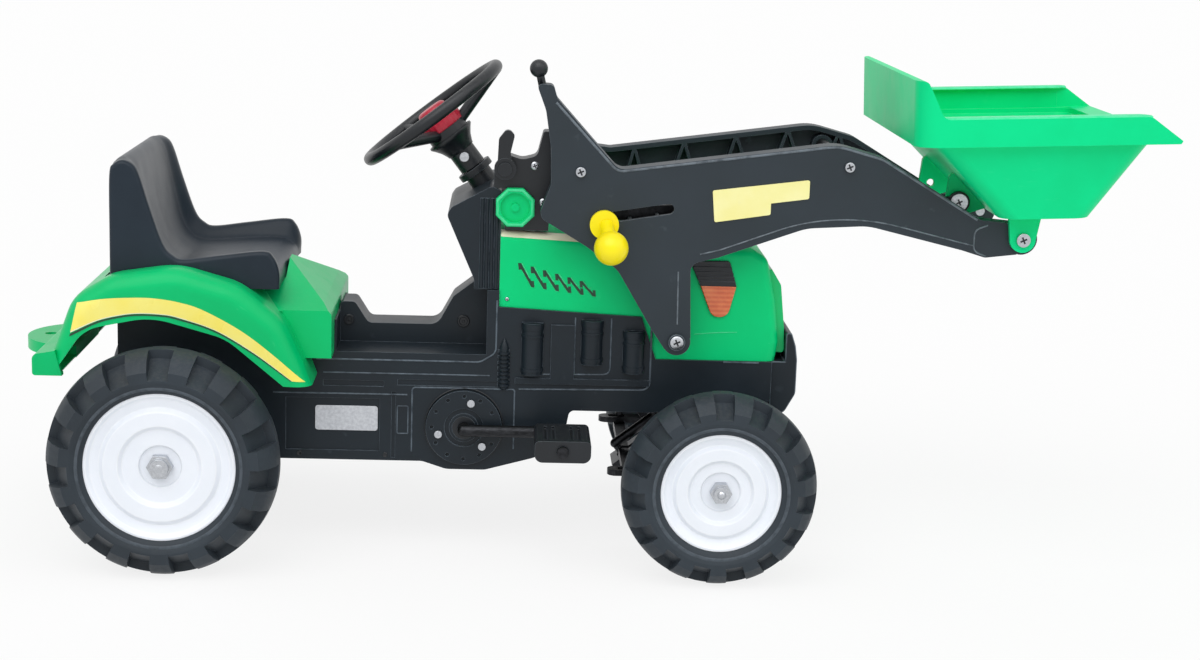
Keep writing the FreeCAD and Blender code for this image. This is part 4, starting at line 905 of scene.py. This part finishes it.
# wound spring under the horn button, which flattens when the button is pressed; the coil here is made at its
# full length only
springSpec = {"centre": (-157, 0, 446), "down": (0.611527, 0, -0.791224), "top": 16.1, "foot": 27.9,
              "radius": 8.0, "wire": 0.7, "wireSides": 10, "turns": 4, "steps": 40, "keep": 0.65}


def makeHornSpring():
    spec = springSpec
    centre, down = Vector(spec["centre"]), Vector(spec["down"])
    ahead = Vector((0, 1, 0))
    across = down.cross(ahead)
    wire, around = spec["wire"], spec["wireSides"]
    angles = [radians(360 * k / around) for k in range(around + 1)]
    count = spec["turns"] * spec["steps"]
    rows = []
    for i in range(count + 1):
        a = 2 * pi * i / spec["steps"]
        out = ahead * cos(a) + across * sin(a)
        depth = spec["top"] + wire + (spec["foot"] - spec["top"] - 2 * wire) * i / count
        here = centre + down * depth + out * spec["radius"]
        rows.append([tuple(here + (out * cos(b) + down * sin(b)) * wire) for b in angles])
    form = [], []
    addSweep(form, rows, around)
    spring = newPiece("hornCoil", form, "zincBolt", "steering", sharp=60)
    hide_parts("horn_spring")
    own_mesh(spring)


makeHornSpring()
print("horn spring wound")

# moulded lines and small forms on the sides of the body
bodySpec = {
    "half": 75.0, "saddleHalf": 22.0,
    "lines": [([(-171, 103), (-171, 171, 4), (-66, 171, 3), (-66, 108)], 0.9),
              ([(-49, 187.5), (31.5, 189, 8), (31.5, 248)], 0.9), ([(72.8, 183), (72.8, 247)], 1.1),
              ([(-5.5, 189), (-5.5, 248)], 0.8), ([(-313, 163), (-176, 163)], 0.9),
              ([(-262, 185), (-92, 185)], 0.8),
              ([(-269, 199), (-102, 199, 14), (-86, 209, 10), (-86, 264)], 1.0),
              ([(-62, 171.5), (72.8, 173.5, 10), (72.8, 182)], 1.0), ([(148, 204.8), (184.5, 204.8)], 1.0),
              ([(-175, 122), (-186, 122, 1.5), (-186, 151, 1.5), (-175, 151, 1.5), (-175, 122)], 0.7)]}
# round bosses, dots and a dark ring round the crank cover, painted shade of the gap round the cover; rims and
# edges are (height, change of radius)
bossSpec = {
    "places": [(-121, 231, 6.5), (-240, 230, 5.5)],
    "rim": [(-0.5, 0), (1.2, 0), (1.8, -0.6), (1.8, -2.0), (0.9, -2.6)],
    "middle": [(0.9, 1.6), (1.6, 1.2), (1.7, 0.0)],
    "dots": [(-286, 99), (-198, 99)],
    "dot": [(-0.5, 2.6), (0.5, 2.6), (0.9, 2.1), (0.5, 1.2), (0.5, 0.0)], "dotSegments": 18,
    "gapShadeRing": (-117.4, 131, 38.8, 41.0), "gasketEdge": [(-0.4, 0), (0.5, 0.2), (0.9, 0.8)],
    "gapShadeRingSegments": 72}
# bands on the toy engine's bottles, as (end, offset, height), and the ribbed strut behind them
bottleSpec = {
    "bottles": [(-49, 188, 242), (12, 200, 246), (55, 192, 236)], "radius": 11.0, "segments": 20,
    "bands": [(0, 3, 4.0), (1, -15, 3.0), (1, -7, 6.5)], "bandEdge": 0.3, "bandRise": 0.7,
    "strut": (-77.5, 171, 225), "foot": [(0, 3.2), (1.5, 4.6)],
    "rib": [(0, 4.6), (0.8, 6.0), (2.4, 6.0), (3.2, 4.6)], "ribs": 9, "ribFrom": 3, "ribPitch": 4.2,
    "top": [(-11, 4.8), (-6, 3.4), (-2, 1.6), (0, 0.3)]}


def makeBodyLines():
    form = [], []
    for side in sides:
        for corners, radius in bodySpec["lines"]:
            addBead(form, roundedPath(corners), bodySpec["half"], radius, side)
    # the lines take the body finish with the painted edge highlight
    newPiece("bodyLines", form, "blackBodyEdge", "chassis")


def makeBosses():
    spec, half = bossSpec, bodySpec["half"]
    form = [], []
    for side in sides:
        for x, z, r in spec["places"]:
            profile = [(t, r + d) for t, d in spec["rim"]] + spec["middle"]
            addBoss(form, profile, x, z, bodySpec["saddleHalf"], side)
        for x, z in spec["dots"]:
            addBoss(form, spec["dot"], x, z, half, side, segments=spec["dotSegments"])
        # dark ring round the crank cover: painted shade of the gap round it
        x, z, inner, outer = spec["gapShadeRing"]
        ring = [(t, inner + d) for t, d in spec["gasketEdge"]]
        ring += [(t, outer - d) for t, d in reversed(spec["gasketEdge"])]
        addBoss(form, ring, x, z, half, side, segments=spec["gapShadeRingSegments"], ring=True)
    newPiece("bodyBosses", form, "blackSmall", "chassis")


def makeBottles():
    spec, half, edge = bottleSpec, bodySpec["half"], bottleSpec["bandEdge"]
    inner, outer = spec["radius"] - edge, spec["radius"] + spec["bandRise"]
    form = [], []
    for side in sides:
        halfTurn = ((0, 0, 1), (1, 0, 0), 180.0 if side < 0 else 0.0, 180.0, spec["segments"])
        for x, *ends in spec["bottles"]:
            for end, offset, tall in spec["bands"]:
                band = [(0, inner), (edge, outer), (tall - edge, outer), (tall, inner)]
                addTurned(form, band, (x, side * half, ends[end] + offset), *halfTurn)
        x, z0, z1 = spec["strut"]
        profile = list(spec["foot"])
        for i in range(spec["ribs"]):
            profile += [(spec["ribFrom"] + i * spec["ribPitch"] + t, r) for t, r in spec["rib"]]
        profile += [(z1 - z0 + t, r) for t, r in spec["top"]]
        addTurned(form, profile, (x, side * half, z0), *halfTurn)
    newPiece("engineBottles", form, "blackBody", "chassis")


makeBodyLines()
makeBosses()
makeBottles()
print("body details made")

# lines moulded into the outer faces of both loader arms, and rims along their top edges
armSpec = {"face": 108.0, "steps": 12, "rimBead": 1.3, "rimRise": 0.6,
           "rims": {-1: [(-32, 470), (30.8, 402.9, 14), (250, 434.2, 60), (295.2, 422.2, 40), (394, 364.2)],
                    1: [(-24, 409.6), (31.5, 403.2, 14), (250, 434.2, 60), (295.2, 422.2, 40), (394, 364.2)]},
           "lines": [([(392, 338), (380, 340.5, 60), (284, 362.5, 220), (221, 358.5, 200), (136, 327, 60),
                       (116, 322)], 0.8),
                     ([(95, 304), (96, 250)], 0.8),
                     ([(405, 359), (392, 354, 9), (392, 332, 9), (405, 327.5)], 0.9)]}


def makeArmLines():
    spec = armSpec
    form = [], []
    for side in sides:
        for corners, radius in spec["lines"]:
            addBead(form, roundedPath(corners, spec["steps"]), spec["face"], radius, side)
        rim = roundedPath(spec["rims"][side], spec["steps"])
        addBead(form, rim, spec["face"], spec["rimBead"], side, spec["rimRise"])
    # the lines and rims take the arm finish with the painted edge highlight
    newPiece("armLines", form, "blackArmEdge", "loader")


makeArmLines()
print("arm lines moulded")

# folded lip along the top of the bucket's side walls; keys are x, z and how far in it reaches, and the
# section is measured from the lip's outer edge, its inner edge or the wall
lipSpec = {"keys": [(344, 476, 160), (349, 474.4, 156), (358, 474, 153), (380, 474, 152), (470, 474, 152),
                    (532, 474, 152), (543, 474, 155), (550, 473.4, 159)], "steps": 6,
           "section": [("outer", 0, -0.3), ("outer", -0.9, 0.9), ("outer", -5, 1.6), ("inner", 5, 1.6),
                       ("inner", 1.3, 1.0), ("inner", 0, -0.3), ("inner", 0.9, -1.5), ("wall", 0, -2.0)],
           "outer": 171.7, "wall": 160.6, "pivot": (440, 346), "lean": 2.5}


def makeBucketLip():
    spec = lipSpec
    px, pz = spec["pivot"]
    form = [], []
    for side in sides:
        rows = []
        for x, z, inner in smoothLine(spec["keys"], spec["steps"]):
            edges = {"outer": spec["outer"], "inner": inner, "wall": spec["wall"]}
            row = []
            for edge, shift, rise in spec["section"] + spec["section"][:1]:
                leanX, leanZ = turnedAbout(spec["pivot"], x - px, z + rise - pz, spec["lean"])
                row.append((leanX, side * (edges[edge] + shift), leanZ))
            rows.append(row)
        addSweep(form, rows, len(spec["section"]))
    # the lip takes the bucket finish with the painted edge highlight
    newPiece("bucketLip", form, "greenBucketEdge", "bucket", sharp=60)


makeBucketLip()
print("bucket lip folded")

# raised rim of the octagon cap, which is on the right side only
capSpec = {"centre": (-70, 360), "face": 78.0, "reach": 19.0, "corners": 8, "bead": 1.6, "rise": 0.7}


def makeCapRim():
    spec = capSpec
    x, z = spec["centre"]
    angles = [radians(360 * (i + 0.5) / spec["corners"]) for i in range(spec["corners"])]
    ring = [Vector((x + spec["reach"] * cos(a), z + spec["reach"] * sin(a))) for a in angles]
    form = [], []
    addBead(form, ring + ring[:1], spec["face"], spec["bead"], -1, spec["rise"])
    # the rim takes the hood finish with the painted edge highlight
    newPiece("capRim", form, "greenHoodEdge", "chassis")


makeCapRim()
print("cap rim made")

# raised rings on the tyre walls: body, centre, side and radius of each
tyreSpec = {"rings": {"rear_tyre_right": ("rear_axle", (-409, 114), -1, 80.0),
                      "rear_tyre_left": ("rear_wheel_left", (-409, 114), 1, 80.0),
                      "front_tyre_right": ("front_wheel_right", (139, 98), -1, 67.0),
                      "front_tyre_left": ("front_wheel_left", (139, 98), 1, 67.0)},
            "rise": 1.3, "sink": 0.4, "half": 2.1, "steps": 9, "segments": 96}
# domed ends on the axles: body, centre, start, radius and sides; the dome is (along, share of the radius)
axleSpec = {"ends": {"rear": ("rear_axle", (-409, 114), 196.0, 6.4, sides),
                     "right": ("knuckle_right", (139, 98), 194.5, 4.6, (-1,)),
                     "left": ("knuckle_left", (139, 98), 194.5, 4.6, (1,))},
            "dome": [(0, 1), (3.6, 1), (4.8, 0.9), (6.0, 0.62), (6.6, 0.3), (6.7, 0)]}


def makeTyreRings():
    spec = tyreSpec
    angles = [radians(180 * k / spec["steps"]) for k in range(spec["steps"] + 1)]
    for node, (body, (x, z), side, r) in spec["rings"].items():
        wall = sideFinder(node)(x, z - r, side)
        ring = [(wall + spec["rise"] * sin(a) - spec["sink"], r + spec["half"] * cos(a)) for a in angles]
        form = [], []
        addBoss(form, ring, x, z, 0, side, segments=spec["segments"], ring=True)
        # the rings take the tyre finish with the painted edge highlight
        newPiece(node + "_rings", form, "blackTyreEdge", body, sharp=70)


def makeAxleEnds():
    for name, (body, (x, z), start, r, where) in axleSpec["ends"].items():
        dome = [(start + t, r * share) for t, share in axleSpec["dome"]]
        form = [], []
        for side in where:
            addBoss(form, dome, x, z, 0, side)
        newPiece(name + "AxleEnds", form, "zincBolt", body)


makeTyreRings()
makeAxleEnds()
print("wheel details made")

# dark crosses in the bolt heads, painted shade of their cross recesses, and screws that hold the trim, with
# the same dark crosses, at (x, z, y, radius); depths are from y
boltSpec = {"heads": [("tieCrosses", "loader", [(-6, 402, 112.0, 3.4), (262, 414, 112.0, 3.4)], sides),
                      ("lugCrosses", "loader", [(440, 346, 118.3, 3.6)], sides),
                      ("tabCross", "bucket", [(380, 378, 83.3, 3.4)], (-1,))],
            "screws": [("hoodScrews", [(-76, 265, 72.0, 2.2)], sides),
                       ("pivotBolts", [(96, 232, 113.0, 6.6)], sides),
                       ("bracketScrews", [(-51, 402, 70.0, 4.2), (-42, 365, 70.0, 4.0)], (-1,))],
            "dome": [(-0.5, 1), (0.4, 1), (0.9, 0.86), (1.3, 0.6), (1.45, 0.3), (1.5, 0)], "segments": 24,
            "crossWidth": 0.24, "crossTurn": 24, "headCross": (-0.3, 0.12), "screwCross": (0.9, 1.55),
            "screwCrossSize": 0.55}


def addCross(form, x, z, r, y, depths, side):
    w = r * boltSpec["crossWidth"]
    corners = [(w, r), (w, w), (r, w), (r, -w), (w, -w), (w, -r),
               (-w, -r), (-w, -w), (-r, -w), (-r, w), (-w, w), (-w, r)]
    outline = [turnedAbout((x, z), a, b, boltSpec["crossTurn"]) for a, b in corners]
    addPlate(form, outline, y + depths[0], y + depths[1], side)


def makeBoltDetails():
    spec = boltSpec
    for name, body, spots, where in spec["heads"]:
        form = [], []
        for side in where:
            for x, z, y, r in spots:
                # dark cross plate: painted shade of the bolt head's cross recess
                addCross(form, x, z, r, y, spec["headCross"], side)
        newPiece(name, form, "blackSmall", body)
    for name, spots, where in spec["screws"]:
        form, dark = ([], []), ([], [])
        for side in where:
            for x, z, y, r in spots:
                dome = [(t, r * share) for t, share in spec["dome"]]
                addBoss(form, dome, x, z, y, side, segments=spec["segments"])
                # dark cross plate in the dome: painted shade of the screw's cross recess
                addCross(dark, x, z, r * spec["screwCrossSize"], y, spec["screwCross"], side)
        newPiece(name, form, "zincBolt", "chassis")
        newPiece(name + "RecessShade", dark, "blackSmall", "chassis")


makeBoltDetails()
print("bolt heads and screws finished")
